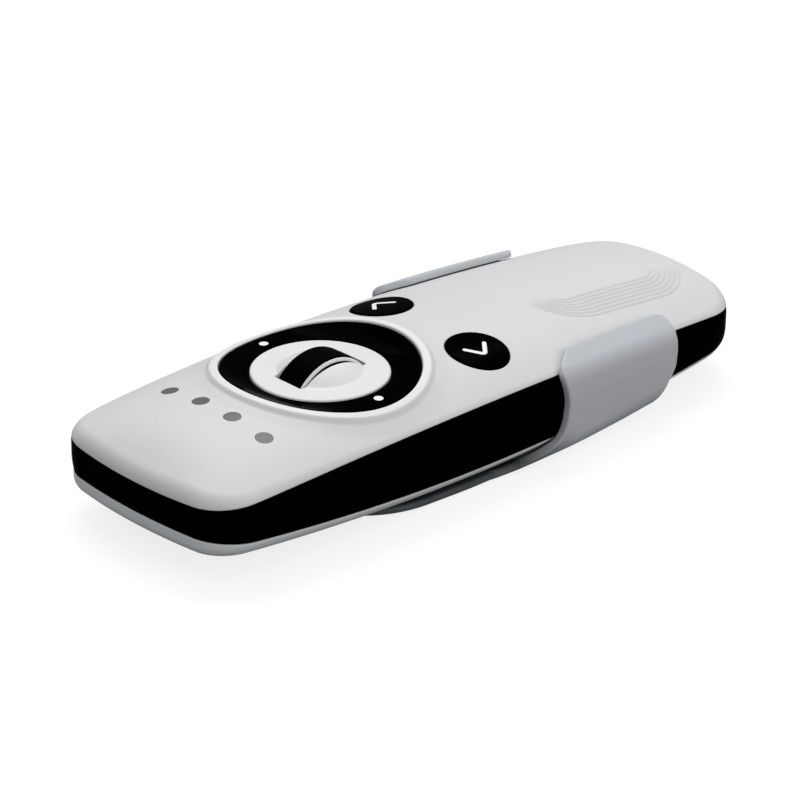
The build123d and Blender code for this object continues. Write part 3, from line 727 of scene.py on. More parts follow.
def make_cover():
    """Crowned cover: swept edge, filled top, collar, key holes, window holes, engraved lines."""
    edge, fill_inset = cover_edge()
    hole_rows = cover_holes()
    holes = [rows[0][:, :2] for rows in hole_rows]
    offsets = engraving_offsets()
    engraved = []
    for offset in offsets:
        plan = lines_loop(offset)
        engraved.append(lifted(plan, cover_top, -engraving_depth(offset, plan[:, 0])))
    lines_outer = lines_loop(offsets[0])
    lines_inner = lines_loop(offsets[-1])
    collar_rings = np.arange(collar_radius + collar_ring_from, collar_foot_radius + collar_ring_to,
                             collar_ring_pitch)
    spread = hexagon_points(half_width, near_y, far_y, cover_pitch)
    keep = np.hypot(spread[:, 0], spread[:, 1]) > collar_rings[-1] + collar_margin
    keep &= inside_loop(spread, outline(fill_inset + cover_edge_margin))
    for hole in holes[1:]:
        keep &= clear_of(spread, hole, cover_hole_margin)
    past_outer = inside_loop(spread, lines_loop(offsets[0] - lines_margin))
    past_inner = inside_loop(spread, lines_loop(offsets[-1] + lines_margin))
    keep &= ~(past_outer & ~past_inner)
    amid_lines = inside_loop(spread, lines_inner)
    rims = [circle(radius, (0.0, 0.0), collar_ring_points) for radius in collar_rings]
    rims = [rim[inside_loop(rim, outline(fill_inset + ring_edge_margin))] for rim in rims]
    around = np.concatenate([spread[keep & ~amid_lines]] + rims)
    parts = [edge] + [ring_grid(rows) for rows in hole_rows + [engraved]]
    parts.append(fill_plan(outline(fill_inset), holes + [lines_outer], around, cover_top))
    parts.append(fill_plan(lines_inner, [], spread[keep & amid_lines], cover_top))
    return make_piece("pearl_cover", parts, pearl_grey, "handset", ["top_shell"])


def make_band():
    """Gloss band: a closed section carried round the plan between the two joints."""
    high = upper_joint(plan_y) - joint_gap
    low = lower_joint(plan_y) + joint_gap
    rows = []

    def add(level, extra):
        rows.append(loop_points(side_inset(level) + joint_step + extra, level))

    add(low, band_wall)
    for inset, rise in round_steps(edge_round, 5):
        add(low + rise, inset)
    for share in np.linspace(0.03, 0.97, 16):
        add(low + edge_round + (high - low - 2.0 * edge_round) * share, 0.0)
    for inset, drop in round_steps(edge_round, 5)[::-1]:
        add(high - drop, inset)
    add(high, band_wall)
    rows.append(rows[0])
    return make_piece("gloss_band", [ring_grid(rows)], gloss_black, "handset",
                      ["side_band"])


def make_lower_case():
    """Lower half: swept edge from the band's joint and a filled underside with its holes."""
    start = lower_joint(plan_y) - joint_gap
    swept = edge_rows(under, bottom_edge_radius, edge_round - start)
    rows = joint_lip(start, -1.0)
    rows += [loop_points(inset + barrel(-depth), -depth) for inset, depth in swept]
    last_inset = swept[-1][0] + barrel(-swept[-1][1])
    fill_inset = last_inset + under_fill_step
    for share in (0.3, 1.0):
        rows.append(lifted(outline(last_inset + (fill_inset - last_inset) * share), belly))
    parts = [ring_grid(rows, flip=True)]
    openings = [(cap_hole_radius, (0.0, cap_y), 160), (prog_hole_radius, (0.0, prog_y), 48)]
    openings += [(screw_hole_radius, (side * x, y), 56) for side in (-1.0, 1.0) for x, y in screw_places]
    spread = hexagon_points(half_width, near_y, far_y, under_pitch)
    keep = inside_loop(spread, outline(fill_inset + under_edge_margin))
    holes = []
    for radius, middle, count in openings:
        edge = hole_edge(radius, middle, count, under, under_hole_round, under_hole_depth)
        turned_over = [row * np.array([1.0, 1.0, -1.0]) for row in edge]
        parts.append(ring_grid(turned_over, flip=True))
        holes.append(edge[0][:, :2])
        keep &= clear_of(spread, holes[-1], under_hole_margin)
    parts.append(fill_plan(outline(fill_inset), holes, spread[keep], belly, flip=True))
    return make_piece("satin_lower_case", parts, case_grey, "handset", ["bottom_shell"])


def ring_top(x, y):
    """Rocker ring's dished top: from the pad's edge out to just inside the collar's rim.

    Between the two edges it rises by a share of the straight line and the rest as its square.
    """
    radius = np.hypot(x, y)
    outer = collar_radius - key_gap
    scale = outer / np.maximum(radius, 1e-6)
    rim = crown(x * scale, y * scale) + collar_rise - ring_step
    share = np.clip((radius - ring_inner_radius) / (outer - ring_inner_radius), 0.0, 1.0)
    return -ring_inner_drop + (rim + ring_inner_drop) * ((1.0 - ring_dish) * share + ring_dish * share**2)


def make_rocker_ring():
    """Dished ring: a closed section carried round, with both edges rounded."""
    outer = collar_radius - key_gap
    top_margin = ring_round + 0.08
    rows = []

    def add(radius, drop):
        rows.append(lifted(circle(radius, (0.0, 0.0), fine_turn), ring_top, -drop))

    def add_foot(radius):
        rows.append(lifted(circle(radius, (0.0, 0.0), fine_turn), flat_at(ring_low)))

    add_foot(outer)
    for inset, drop in round_steps(ring_round, 6)[::-1]:
        add(outer - inset, drop)
    for radius in np.linspace(outer - top_margin, ring_inner_radius + top_margin, 14):
        add(radius, 0.0)
    for inset, drop in round_steps(ring_round, 6):
        add(ring_inner_radius + inset, drop)
    add_foot(ring_inner_radius)
    rows.append(rows[0])
    return make_piece("gloss_rocker_ring", [ring_grid(rows)], gloss_black, "rocker_ring",
                      ["rocker_ring"])


def disc_parts(middle, radius, height, rounding, depth, count, rings=8):
    """A round plate that follows a surface: its top, its rounded edge, its side and its underside."""
    rows = []

    def add(reach, drop):
        rows.append(lifted(circle(reach, middle, count), height, -drop))

    add(0.0, depth)
    add(radius, depth)
    for inset, drop in round_steps(rounding, 6)[::-1]:
        add(radius - inset, drop)
    for reach in np.linspace(radius - rounding * 1.2, 0.0, rings):
        add(reach, 0.0)
    return ring_grid(rows)


def make_marks():
    """Two white round inlays, a hair proud of the ring."""

    def mark_top(x, y):
        return ring_top(x, y) + mark_stand

    parts = [disc_parts((side * mark_x, 0.0), mark_radius, mark_top, mark_round, mark_depth, 48, 4)
             for side in (-1.0, 1.0)]
    return make_piece("white_ring_marks", parts, white_inlay, "rocker_ring", ["ring_marks"])


def pad_top(x, y):
    """The pad's flat top with its low spherical dome blended in.

    Where the ball's cap dips under the flat top, a root of squares turns it smoothly into zero.
    """
    radius = np.hypot(x, y)
    ball = (dome_radius**2 + dome_height**2) / (2.0 * dome_height)
    cap = dome_height - ball + np.sqrt(np.maximum(0.0, ball**2 - radius**2))
    fade = 1.0 - smooth_step(radius, dome_radius, pad_radius - 1.0)
    return 0.5 * (cap + np.sqrt(cap**2 + dome_blend**2)) * fade


def make_pad():
    """Round pad as a grid between the wheel's slot and the rim, with both edges rounded."""
    slot = rounded_box(slot_half_x, slot_half_y, slot_corner, (0.0, 0.0), 0.0, 6, 60, 28)
    turn = np.arctan2(slot[:, 1], slot[:, 0])
    rim = pad_radius * np.column_stack([np.cos(turn), np.sin(turn)])
    straight = np.array([slot_half_x - slot_corner, slot_half_y - slot_corner])
    outward = slot - np.clip(slot, -straight, straight)
    outward /= np.maximum(np.hypot(outward[:, 0], outward[:, 1]), 1e-9)[:, None]
    rows = []

    def add(plan, drop):
        rows.append(lifted(plan, pad_top, -drop))

    add(rim, pad_depth)
    for inset, drop in round_steps(pad_round, 7)[::-1]:
        add(rim * (1.0 - inset / pad_radius), drop)
    start = rim * (1.0 - pad_round * 1.15 / pad_radius)
    end = slot + outward * (slot_round + 0.06)
    for share in np.linspace(0.0, 1.0, 44):
        add(start + (end - start) * share, 0.0)
    for inset, drop in round_steps(slot_round, 6):
        add(slot + outward * inset, drop)
    add(slot, slot_depth)
    rows.append(rows[0])
    return make_piece("pale_pad", [ring_grid(rows)], pale_pad, "pad", ["pad_disc"])


def lathe_across(profile):
    """A profile of places along X and radii, turned about the wheel's axis."""
    turn = np.linspace(0.0, 2.0 * math.pi, fine_turn, endpoint=False)
    rows = []
    for x, radius in profile:
        rows.append(np.column_stack([np.full(fine_turn, x), radius * np.cos(turn),
                                     radius * np.sin(turn) - wheel_axis_depth]))
    return ring_grid(rows)


def make_wheel():
    """Pale bevelled rims, black sides as painted shade under them, and the black tread between the rims."""
    crest = wheel_radius - rim_drop
    inner = tread_half_width
    outer = rim_half_width
    rim = [(inner - 0.5, crest - 1.2), (inner, crest - 1.2), (inner + 0.01, crest - 0.1),
           (inner + 0.05, crest - 0.02), (inner + 0.1, crest), (outer - rim_bevel, crest),
           (outer - rim_bevel + 0.08, crest - 0.04), (outer - 0.05, crest - rim_bevel),
           (outer, crest - rim_bevel - 0.1), (outer, crest - rim_height), (outer - 0.3, crest - rim_height),
           (outer - 0.3, wheel_bore), (inner - 0.5, wheel_bore), (inner - 0.5, crest - 1.2)]
    # The black sides under the rims are painted shade: they stand for the dark line in the gap between each
    # rim and the pad.
    painted_shade_sides = [(outer - 0.2, wheel_bore), (outer - 0.2, crest - 1.6), (outer - 0.05, crest - 1.6),
                  (outer - 0.05, crest - rim_height - 0.03), (outer - 0.2, crest - rim_height - 0.01)]
    edge = tread_half_width - 0.02
    half_tread = [(edge, wheel_radius - tread_wall), (edge, wheel_radius - 0.2),
                  (edge - 0.1, wheel_radius - 0.08)]
    tread = [(-x, radius) for x, radius in half_tread]
    for x in np.linspace(-edge + 0.3, edge - 0.3, 9):
        tread.append((x, wheel_radius - 0.05 + 0.03 * (1.0 - (x / edge) ** 2)))
    tread += half_tread[::-1] + [tread[0]]
    rims = []
    black = [lathe_across(tread)]
    for side in (-1, 1):
        rims.append(lathe_across([(side * x, radius) for x, radius in rim][::side]))
        black.append(lathe_across([(side * x, radius) for x, radius in painted_shade_sides][::-side]))
    make_piece("pale_wheel_rims", rims, pale_pad, "wheel", ["wheel_hub"])
    make_piece("black_wheel_tread", black, black_rubber, "wheel", ["wheel_tyre"])


def key_top(x, y):
    """Top of the two round keys, just proud of the cover."""
    return crown(x, y) + button_stand


def chevron_path(side):
    """Places, normals and half widths along a stroke with round ends and a rounded bend.

    The bend is the parabola through the points at chevron_bend from the tip on both arms.
    """
    middle = np.array([side * (button_x + chevron_shift), button_y])
    tip = middle + np.array([side * chevron_reach, 0.0])
    tails = [middle + np.array([-side * chevron_back, end * chevron_half_height]) for end in (-1.0, 1.0)]
    half = chevron_stroke / 2.0
    arm = np.hypot(*(tip - tails[0]))
    reach = np.concatenate([half * (1.0 - np.cos(np.linspace(0.0, math.pi / 2.0, 8))),
                            np.linspace(half * 1.3, arm + half - chevron_bend, 10)])[:, None]
    first, last = [tail + (tip - tail) / arm * (reach - half) for tail in tails]
    share = np.linspace(0.0, 1.0, 14)[1:-1, None]
    bend = (1.0 - share) ** 2 * first[-1] + 2.0 * share * (1.0 - share) * tip + share**2 * last[-1]
    places = np.concatenate([first, bend, last[::-1]])
    travel = np.gradient(places, axis=0)
    travel /= np.hypot(travel[:, 0], travel[:, 1])[:, None]
    normals = np.column_stack([-travel[:, 1], travel[:, 0]])
    width = np.sqrt(np.maximum(0.0, half**2 - np.maximum(0.0, half - reach[:, 0]) ** 2))
    return places, normals, np.concatenate([width, np.full(len(bend), half), width[::-1]])


def make_chevron(side):
    """White inlay in a key: a flat stroke with soft edges, its sides sunk into the key."""
    places, normals, widths = chevron_path(side)
    section = [(0.0, chevron_stand), (0.5, chevron_stand), (0.94, 0.02), (1.0, -0.04), (1.0, -chevron_depth)]
    section = [(-share, lift) for share, lift in section[:0:-1]] + section
    section.append(section[0])
    rows = [lifted(places + normals * widths[:, None] * share, key_top, lift) for share, lift in section]
    name = "left" if side < 0 else "right"
    return make_piece(f"white_{name}_chevron", [ring_grid(rows, across=False)], white_inlay,
                      f"{name}_button", [f"{name}_chevron"])


def make_key(side):
    """Round gloss key that follows the cover, with a rounded rim."""
    name = "left" if side < 0 else "right"
    part = disc_parts((side * button_x, button_y), button_radius, key_top, button_round, button_depth,
                      144, 10)
    return make_piece(f"gloss_{name}_key", [part], gloss_black, f"{name}_button",
                      [f"{name}_button"])


def make_windows():
    """Four grey windows, a hair below the cover."""

    def window_top(x, y):
        return crown(x, y) - window_sink

    parts = [disc_parts((side * x, window_y), window_radius - window_gap, window_top, window_round,
                        window_depth, 64, 6) for side in (-1.0, 1.0) for x in window_x]
    return make_piece("smoked_windows", parts, smoked_window, "handset", ["light_guides"])


def monotone_curve(knots_x, knots_y, values):
    """Smooth curve through knots that never overshoots them (harmonic mean slopes)."""
    x, y = np.array(knots_x, float), np.array(knots_y, float)
    step = np.diff(x)
    slope = np.diff(y) / step
    inner = np.zeros(len(slope) - 1)
    same = slope[:-1] * slope[1:] > 0.0
    inner[same] = 2.0 * slope[:-1][same] * slope[1:][same] / (slope[:-1] + slope[1:])[same]
    tangent = np.concatenate([[slope[0]], inner, [slope[-1]]])
    index = np.clip(np.searchsorted(x, values) - 1, 0, len(step) - 1)
    t = np.clip((values - x[index]) / step[index], 0.0, 1.0)
    return ((2 * t**3 - 3 * t**2 + 1) * y[index] + (t**3 - 2 * t**2 + t) * step[index] * tangent[index]
            + (-2 * t**3 + 3 * t**2) * y[index + 1] + (t**3 - t**2) * step[index] * tangent[index + 1])


def holder_middle(part, share, y):
    """Middle of the holder's wall at a place on its section and a place along its length.

    The section runs from a lip's inner edge over the cover, round the top, down the side, round
    the bottom and along the flat back to the middle. part is 0 to 4 along it, share is 0 to 1.
    """
    wall_x = side_width(y) + holder_gap + arm_thickness / 2.0
    lip_lift = holder_gap + lip_thickness / 2.0
    floor = np.maximum(-holder_depth, belly(0.0, y) - under_depth) + arm_thickness / 2.0
    lip_x = monotone_curve(*zip(*lip_inner), y)
    turn = bottom_turn + rear_turn * smooth_step(y, rear_turn_from, rear_turn_to)
    turn_end = math.acos(lip_slope / math.sqrt(1.0 + lip_slope**2))
    turn_inset = top_turn * (1.0 - math.cos(turn_end))
    x = np.zeros_like(y)
    z = np.zeros_like(y)
    lip = part == 0
    x[lip] = (lip_x + (wall_x - turn_inset - lip_x) * share)[lip]
    z[lip] = (crown(x, y) + lip_lift)[lip]
    over = part == 1
    inset = top_turn * (1.0 - np.cos(turn_end * (1.0 - share)))
    x[over] = (wall_x - inset)[over]
    z[over] = (crown(wall_x - inset, y) + lip_lift - edge_drop(lip_slope, top_turn, inset))[over]
    top_z = crown(wall_x, y) + lip_lift - edge_drop(lip_slope, top_turn, 0.0)
    low_z = floor + turn
    side = part == 2
    z[side] = (top_z + (low_z - top_z) * share)[side]
    x[side] = (wall_x - draft(z))[side]
    bend = part == 3
    angle = share * math.pi / 2.0
    z[bend] = (low_z - turn * np.sin(angle))[bend]
    x[bend] = (wall_x - draft(z) - turn * (1.0 - np.cos(angle)))[bend]
    flat = part == 4
    x[flat] = ((wall_x - draft(floor) - turn) * (1.0 - share))[flat]
    z[flat] = floor[flat]
    return x, z


def holder_columns():
    """Where the columns of the holder's grid lie on its section, closest at the lip's border."""
    shares = [
        np.concatenate([[0.0, 0.03, 0.08, 0.15, 0.24], np.linspace(0.36, 0.98, 6)]),
        np.linspace(0.0, 0.95, 12),
        np.linspace(0.0, 0.97, 20),
        np.linspace(0.0, 0.985, 44),
        np.concatenate([np.linspace(0.0, 0.14, 12), np.linspace(0.18, 1.0, 20)]),
    ]
    part = np.concatenate([np.full(len(places), number) for number, places in enumerate(shares)])
    return part, np.concatenate(shares)


def tongue_plate():
    """Flat round-ended plate under the handset's near half: half-round rim, two countersunk holes."""
    half = arm_thickness / 2.0 - joint_gap
    middle = (0.0, (tongue_front + tongue_rear) / 2.0)
    half_length = (tongue_rear - tongue_front) / 2.0
    level = flat_at(-holder_depth + arm_thickness / 2.0)
    rim = []
    for turn in np.linspace(-math.pi / 2.0, math.pi / 2.0, 11):
        inset = half * (1.0 - math.cos(turn))
        plan = rounded_box(tongue_half, half_length, tongue_corner, middle, inset, 40, 30, 10)
        plan[:, 0] *= 1.0 + tongue_flare * smooth_step(plan[:, 1], tongue_flare_from, tongue_flare_to)
        rim.append(lifted(plan, level, half * math.sin(turn)))
    parts = [ring_grid(rim)]
    sink = [(hole_radius, -half), (hole_radius, half - hole_head_radius + hole_radius),
            (hole_head_radius, half)]
    for y in hole_places:
        rows = [lifted(circle(radius, (0.0, y), 64), level, lift) for radius, lift in sink]
        parts.append(ring_grid(rows, flip=True))
    for edge, radius, underneath in ((rim[0], hole_radius, True), (rim[-1], hole_head_radius, False)):
        holes = [circle(radius, (0.0, y), 64) for y in hole_places]
        parts.append(fill_plan(edge[:, :2], holes, np.zeros((0, 2)), flat_at(edge[0, 2]), flip=underneath))
    return parts


def holder_borders(part, travel, heights):
    """Front and rear border of the bent sheet, as places along the handset for each column."""
    lip_end = travel[part == 1][0]
    back_start = travel[part == 4][0]
    down = part >= 1

    def border(over_lip, down_arm, along_back):
        knots = [(share * lip_end, y) for share, y in over_lip]
        knots += [(np.interp(-height, -heights[down], travel[down]), y) for height, y in down_arm]
        return monotone_curve(*zip(*(knots + along_back)), travel)

    front = border(lip_front, arm_front, [(back_start + 1.0, back_front_y),
                                          (travel[-1] - back_middle_half, back_middle_y),
                                          (travel[-1], back_middle_y)])
    return front, border(lip_rear, arm_rear, [(travel[-1], back_rear_y)])


def make_holder():
    """The clip as one bent sheet with rounded borders, from lip to lip round the flat back.

    Its two faces lie half the wall's thickness to each side of holder_middle, less where a border
    is near: there the thickness falls off as a quarter circle of radius rim_round.
    """
    part, share = holder_columns()
    x_ref, z_ref = holder_middle(part, share, np.full(len(part), section_y))
    travel = np.concatenate([[0.0], np.cumsum(np.hypot(np.diff(x_ref), np.diff(z_ref)))])
    front, rear = holder_borders(part, travel, z_ref)
    front_stretch = np.sqrt(1.0 + np.gradient(front, travel) ** 2)
    rear_stretch = np.sqrt(1.0 + np.gradient(rear, travel) ** 2)
    half = np.where(part == 0, lip_thickness, arm_thickness) / 2.0
    half = np.where(part == 1, (lip_thickness + (arm_thickness - lip_thickness) * share) / 2.0, half)
    steps = rim_round * np.array([[0.0, 0.03, 0.12, 0.28, 0.5, 0.75, 1.0, 1.4]])
    front_rows = front[:, None] + steps * front_stretch[:, None]
    rear_rows = rear[:, None] - steps[:, ::-1] * rear_stretch[:, None]
    inner = np.linspace(0.0, 1.0, 46)[None, 1:-1]
    middle_rows = front_rows[:, -1:] + (rear_rows[:, :1] - front_rows[:, -1:]) * inner
    y = np.concatenate([front_rows, middle_rows, rear_rows], axis=1)
    rows = y.shape[1]
    x, z = holder_middle(np.repeat(part, rows), np.repeat(share, rows), y.ravel())
    middle = np.stack([x.reshape(y.shape), y, z.reshape(y.shape)], axis=-1)
    from_lip = np.where(part <= 1, travel, np.inf)[:, None]
    gaps = [from_lip + 0.0 * y, (y - front[:, None]) / front_stretch[:, None],
            (rear[:, None] - y) / rear_stretch[:, None]]
    short = sum((1.0 - np.clip(gap / rim_round, 0.0, 1.0)) ** 2 for gap in gaps)
    thick = half[:, None] - rim_round + rim_round * np.sqrt(np.clip(1.0 - short, 0.0, 1.0))
    mirrored = middle[:-1][::-1] * np.array([-1.0, 1.0, 1.0])
    middle = np.concatenate([middle, mirrored])
    thick = np.concatenate([thick, thick[:-1][::-1]])
    normal = np.cross(np.gradient(middle, axis=0), np.gradient(middle, axis=1))
    normal /= np.maximum(np.linalg.norm(normal, axis=-1), 1e-9)[..., None]
    outside, inside = [middle + sign * normal * thick[..., None] for sign in (1.0, -1.0)]
    sheets = [ring_grid(list(outside.transpose(1, 0, 2)), across=False),
              ring_grid(list(inside.transpose(1, 0, 2)), flip=True, across=False)]
    for axis, flip in ((0, False), (1, True)):
        for index, turned in ((0, flip), (-1, not flip)):
            pair = [np.take(sheet, index, axis=axis) for sheet in (outside, inside)]
            sheets.append(ring_grid(pair, flip=turned, across=False))
    sheets += tongue_plate()
    return make_piece("satin_holder", sheets, satin_grey, "holder", ["holder"])


def colour(hex_value):
    """sRGB hex digits as a linear colour."""
    parts = [int(hex_value[i:i + 2], 16) / 255.0 for i in (0, 2, 4)]
    return [c / 12.92 if c <= 0.04045 else ((c + 0.055) / 1.055) ** 2.4 for c in parts] + [1.0]


def add_node(tree, kind, settings=None, links=None):
    """A node with its settings and its input links."""
    made = tree.nodes.new(kind)
    for key, value in (settings or {}).items():
        if isinstance(key, str) and hasattr(made, key) and key not in made.inputs:
            setattr(made, key, value)
        else:
            made.inputs[key].default_value = value
    for key, source in (links or {}).items():
        tree.links.new(source, made.inputs[key])
    return made


def moulded(name, base, varied, roughness, spread, grain, relief, settings):
    """A moulded finish: a faint drift of colour and roughness, and a fine grain in relief.

    grain is the grain's real size in millimetres, and relief its depth in millimetres. The colour
    drifts over drift_size millimetres.
    """
    drift_size = 14.0
    material = bpy.data.materials.new(name)
    material.use_nodes = True
    tree = material.node_tree
    shader = tree.nodes["Principled BSDF"]
    place = add_node(tree, "ShaderNodeTexCoord").outputs["Object"]
    drift = add_node(tree, "ShaderNodeTexNoise", {"Scale": 1.0 / (drift_size * MM), "Detail": 2.0},
                     {"Vector": place})
    fine = add_node(tree, "ShaderNodeTexNoise", {"Scale": 1.0 / (grain * MM), "Detail": 3.0},
                    {"Vector": place})
    tint = add_node(tree, "ShaderNodeMix", {"data_type": "RGBA", 6: colour(base), 7: colour(varied)},
                    {0: drift.outputs["Fac"]})
    rough = add_node(tree, "ShaderNodeMapRange",
                     {"From Min": 0.3, "From Max": 0.7,
                      "To Min": roughness - spread, "To Max": roughness + spread},
                     {"Value": fine.outputs["Fac"]})
    bump = add_node(tree, "ShaderNodeBump", {"Strength": 1.0, "Distance": relief * MM},
                    {"Height": fine.outputs["Fac"]})
    tree.links.new(tint.outputs[2], shader.inputs["Base Color"])
    tree.links.new(rough.outputs["Result"], shader.inputs["Roughness"])
    tree.links.new(bump.outputs["Normal"], shader.inputs["Normal"])
    for key, value in settings.items():
        shader.inputs[key].default_value = value
    return material


def paint_over(material, paint, share):
    """Lays a second colour over a material's own, as strongly as a share from 0 to 1 says."""
    tree = material.node_tree
    tint = tree.nodes["Principled BSDF"].inputs["Base Color"]
    mixed = add_node(tree, "ShaderNodeMix", {"data_type": "RGBA", 7: colour(paint)},
                     {0: share, 6: tint.links[0].from_socket})
    tree.links.new(mixed.outputs[2], tint)


def pale_rim(material, paint):
    """A paler tint on the collar's rim, by distance from the middle of the pad."""
    tree = material.node_tree
    place = add_node(tree, "ShaderNodeTexCoord").outputs["Object"]
    reach = add_node(tree, "ShaderNodeVectorMath", {"operation": "DISTANCE", 1: to_row((0.0, 0.0, 0.0))},
                     {0: place})
    share = add_node(tree, "ShaderNodeMapRange",
                     {"From Min": (collar_rim_radius - pale_rim_inside) * MM,
                      "From Max": (collar_rim_radius + pale_rim_outside) * MM,
                      "To Min": 1.0, "To Max": 0.0}, {"Value": reach.outputs["Value"]})
    paint_over(material, paint, share.outputs["Result"])


def dark_foot(material, paint):
    """A darker tint on the rim of the tongue and on the arms' feet, by place.

    It is the product of four ramps: it ends along the arms and up them, is strongest a little
    above the flat back, and starts well out from the middle.
    """
    tree = material.node_tree
    place = add_node(tree, "ShaderNodeSeparateXYZ", {},
                     {0: add_node(tree, "ShaderNodeTexCoord").outputs["Object"]})
    out = add_node(tree, "ShaderNodeMath", {"operation": "ABSOLUTE"}, {0: place.outputs["X"]})
    near, far = [to_row((0.0, y, 0.0))[1] for y in (shade_from_y, shade_to_y)]
    low, middle, high, top = [to_row((0.0, 0.0, z))[2] for z in shade_levels]
    ramps = [(place.outputs["Y"], near, far, 1.0, 0.0),
             (place.outputs["Z"], low, middle, shade_least, 1.0),
             (place.outputs["Z"], high, top, 1.0, 0.0),
             (out.outputs[0], shade_from_x * MM, shade_to_x * MM, 0.0, 1.0)]
    share = None
    for source, start, end, first, last in ramps:
        ramp = add_node(tree, "ShaderNodeMapRange",
                        {"From Min": start, "From Max": end, "To Min": first, "To Max": last},
                        {"Value": source}).outputs["Result"]
        if share is not None:
            ramp = add_node(tree, "ShaderNodeMath", {"operation": "MULTIPLY"}, {0: share, 1: ramp}).outputs[0]
        share = ramp
    paint_over(material, paint, share)


# ASA cover moulded in a finely sparked tool: a soft even sheen without a clear highlight. The real
# grain of about 0.1 mm is too fine to show, so it is drawn at 0.3 mm.
pearl_grey = moulded("moulded_pearl_grey_asa", "D6D6D6", "DADADA", 0.5, 0.03, 0.3, 0.002,
                     {"IOR": 1.5, "Specular IOR Level": 0.35})
# The collar's rim looks paler than the rest of the cover in the photograph.
pale_rim(pearl_grey, "E9E9E9")
# ABS holder, the same finish in a cooler and slightly darker grey.
satin_grey = moulded("moulded_satin_grey_abs", "BFC2C7", "C4C7CB", 0.45, 0.03, 0.3, 0.002,
                     {"IOR": 1.52, "Specular IOR Level": 0.35})
# In the photograph the tongue's rim and the arms' feet are nearly black, most likely because the
# handset shades them. This tint stands for that shade.
dark_foot(satin_grey, "1C1D1F")
# The lower case, moulded like the holder in a paler grey.
case_grey = moulded("moulded_case_grey_abs", "D8D9DB", "DCDDDF", 0.45, 0.03, 0.3, 0.002,
                    {"IOR": 1.52, "Specular IOR Level": 0.35})
# Polished black ABS: nearly no diffuse colour. Its reflections are turned far down, because the
# photograph shows none in it.
gloss_black = moulded("polished_black_abs", "000000", "010101", 0.12, 0.01, 2.0, 0.0004,
                      {"IOR": 1.45, "Specular IOR Level": 0.002})
# Pad and wheel rims in a paler, smoother moulding than the cover.
pale_pad = moulded("moulded_pale_pad_abs", "E4E4E4", "E7E7E7", 0.42, 0.02, 0.3, 0.001,
                   {"IOR": 1.5, "Specular IOR Level": 0.35})
# White fill of the chevrons and of the ring's marks, a little glossy.
white_inlay = moulded("filled_white_inlay", "F4F4F4", "FAFAFA", 0.35, 0.02, 0.4, 0.0005, {"IOR": 1.5})
# Soft thermoplastic rubber on the wheel, smooth and very dark.
black_rubber = moulded("smooth_black_rubber", "010101", "020202", 0.4, 0.04, 0.3, 0.002,
                       {"IOR": 1.5, "Specular IOR Level": 0.003})
# Smoked polycarbonate windows, grey while their lamps are off.
smoked_window = moulded("smoked_polycarbonate", "505252", "5A5C5C", 0.3, 0.02, 0.5, 0.0005,
                        {"IOR": 1.58, "Specular IOR Level": 0.3})
# Glass-filled nylon of the inner carriers, as moulded: dull and dark grey.
inner_plastic = moulded("glass_filled_nylon", "4A4A4E", "525256", 0.55, 0.05, 0.3, 0.004, {"IOR": 1.53})
# Translucent silicone of the return domes: milky, with light inside it.
silicone = moulded("pressed_silicone", "C8C8C0", "D2D2CA", 0.5, 0.04, 0.4, 0.002,
                   {"IOR": 1.41, "Subsurface Weight": 0.2, "Subsurface Scale": 0.001})
# Nickel-plated spring steel of the contacts, axle, cell and screws: bright, a little blurred.
bright_steel = moulded("nickel_plated_steel", "C9C9CC", "BDBDC2", 0.28, 0.06, 0.2, 0.001, {"Metallic": 1.0})
# Epoxy lamp bodies, creamy white.
lamp_white = moulded("lamp_epoxy", "E6E2CC", "ECE8D4", 0.3, 0.02, 0.3, 0.001, {"IOR": 1.55})
# Solder mask over woven glass board: dark green with a soft shine.
green_board = moulded("green_solder_mask", "0E4A28", "125430", 0.35, 0.05, 0.5, 0.003, {"IOR": 1.55})
# Moulded epoxy packages of the chips: matt black.
chip_black = moulded("moulded_chip_epoxy", "141414", "1B1B1B", 0.6, 0.05, 0.15, 0.002, {"IOR": 1.55})

finishes = {
    "pearl_grey_plastic": pearl_grey, "satin_grey_plastic": satin_grey, "gloss_black_plastic": gloss_black,
    "pale_pad_plastic": pale_pad, "white_inlay": white_inlay, "black_rubber": black_rubber,
    "smoked_window": smoked_window, "inner_plastic": inner_plastic, "silicone": silicone,
    "bright_steel": bright_steel, "lamp_white": lamp_white, "green_board": green_board,
    "chip_black": chip_black,
}
# Every piece that the scene doesn't remake wears the finish that its record names
for entry in frame["record"]["subparts"]:
    slots = frame["nodes"][entry["node"]].data.materials
    slots.clear()
    slots.append(finishes[entry["material_slot"]])

make_cover()
make_band()
make_lower_case()
make_rocker_ring()
make_marks()
make_pad()
make_wheel()
for side_sign in (-1.0, 1.0):
    make_key(side_sign)
    make_chevron(side_sign)
make_windows()
make_holder()


def seen_share(tree):
    """1 for rays from the camera or through glass, which see the background, and 0 for others."""
    path = add_node(tree, "ShaderNodeLightPath")
    return add_node(tree, "ShaderNodeMath", {"operation": "MAXIMUM"},
                    {0: path.outputs["Is Camera Ray"], 1: path.outputs["Is Transmission Ray"]}).outputs[0]


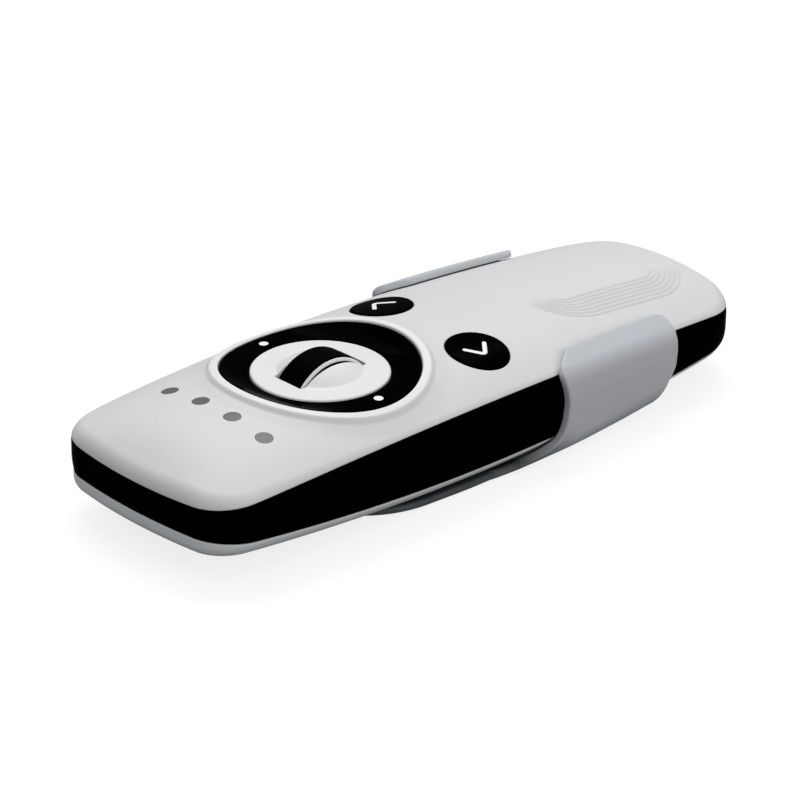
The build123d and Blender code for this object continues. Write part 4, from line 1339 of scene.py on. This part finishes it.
def make_floor():
    """A plain white floor that keeps the object's shadow."""
    mesh = bpy.data.meshes.new("floor")
    corners = [(-floor_reach, -floor_reach, 0.0), (floor_reach, -floor_reach, 0.0),
               (floor_reach, floor_reach, 0.0), (-floor_reach, floor_reach, 0.0)]
    mesh.from_pydata(corners, [], [(0, 1, 2, 3)])
    floor = bpy.data.objects.new("floor", mesh)
    bpy.context.scene.collection.objects.link(floor)
    material = bpy.data.materials.new("white_floor")
    material.use_nodes = True
    tree = material.node_tree
    tree.nodes.clear()
    paint = add_node(tree, "ShaderNodeBsdfDiffuse", {"Color": colour(floor_paint)})
    lift = add_node(tree, "ShaderNodeMath", {"operation": "MULTIPLY", 1: floor_lift}, {0: seen_share(tree)})
    glow = add_node(tree, "ShaderNodeEmission", {"Color": (1.0, 1.0, 1.0, 1.0)},
                    {"Strength": lift.outputs[0]})
    both = add_node(tree, "ShaderNodeAddShader", {}, {0: paint.outputs[0], 1: glow.outputs[0]})
    add_node(tree, "ShaderNodeOutputMaterial", {}, {"Surface": both.outputs[0]})
    mesh.materials.append(material)


def make_world():
    """A soft pale world, brighter overhead, that the camera sees as white."""
    world = bpy.data.worlds.new("studio")
    bpy.context.scene.world = world
    world.use_nodes = True
    tree = world.node_tree
    tree.nodes.clear()
    height = add_node(tree, "ShaderNodeSeparateXYZ", {},
                      {0: add_node(tree, "ShaderNodeTexCoord").outputs["Generated"]})
    level = add_node(tree, "ShaderNodeMapRange",
                     {"From Min": -0.1, "From Max": 0.9, "To Min": horizon_level, "To Max": zenith_level},
                     {"Value": height.outputs["Z"]})
    strength = add_node(tree, "ShaderNodeMix", {"data_type": "FLOAT", 3: 1.0},
                        {0: seen_share(tree), 2: level.outputs["Result"]})
    glow = add_node(tree, "ShaderNodeBackground", {"Color": (1.0, 1.0, 1.0, 1.0)},
                    {"Strength": strength.outputs[0]})
    add_node(tree, "ShaderNodeOutputWorld", {}, {"Surface": glow.outputs[0]})


def make_lamp(name, place, target, size, power):
    """A soft square lamp that looks at a point, its places in millimetres about the pad."""
    data = bpy.data.lights.new(name, "AREA")
    data.size = size
    data.energy = power
    lamp = bpy.data.objects.new(name, data)
    bpy.context.scene.collection.objects.link(lamp)
    start = Vector(to_row(place))
    look = Vector(to_row(target)) - start
    lamp.location = start
    lamp.rotation_euler = look.to_track_quat("-Z", "Y").to_euler()
    return lamp


def make_camera():
    """The photograph's camera: its place, aim and roll, and its lens for the sensor's width."""
    place = np.array(camera_place)
    back = place - np.array(camera_aim)
    back /= np.linalg.norm(back)
    right = np.cross(-back, [0.0, 0.0, 1.0])
    right /= np.linalg.norm(right)
    up = np.cross(back, right)
    roll = math.radians(camera_roll)
    turned_right = math.cos(roll) * right + math.sin(roll) * up
    turned_up = -math.sin(roll) * right + math.cos(roll) * up
    data = bpy.data.cameras.new("photo_camera")
    data.sensor_width = camera_sensor
    data.lens = camera_lens
    data.clip_start = 0.01
    data.clip_end = 20.0
    camera = bpy.data.objects.new("photo_camera", data)
    bpy.context.scene.collection.objects.link(camera)
    turn = Matrix([list(v) for v in zip(turned_right, turned_up, back)]).to_4x4()
    camera.matrix_world = Matrix.Translation(Vector(to_row(place))) @ turn
    bpy.context.scene.camera = camera


make_floor()
make_world()
make_lamp("over_lamp", (-420.0, 330.0, 820.0), (0.0, 20.0, 0.0), 0.7, 5.2)
make_lamp("side_lamp", (720.0, 90.0, 300.0), (0.0, 30.0, -8.0), 0.5, 1.3)
make_camera()
bpy.context.scene.view_settings.view_transform = "Standard"

bpy.context.view_layer.update()
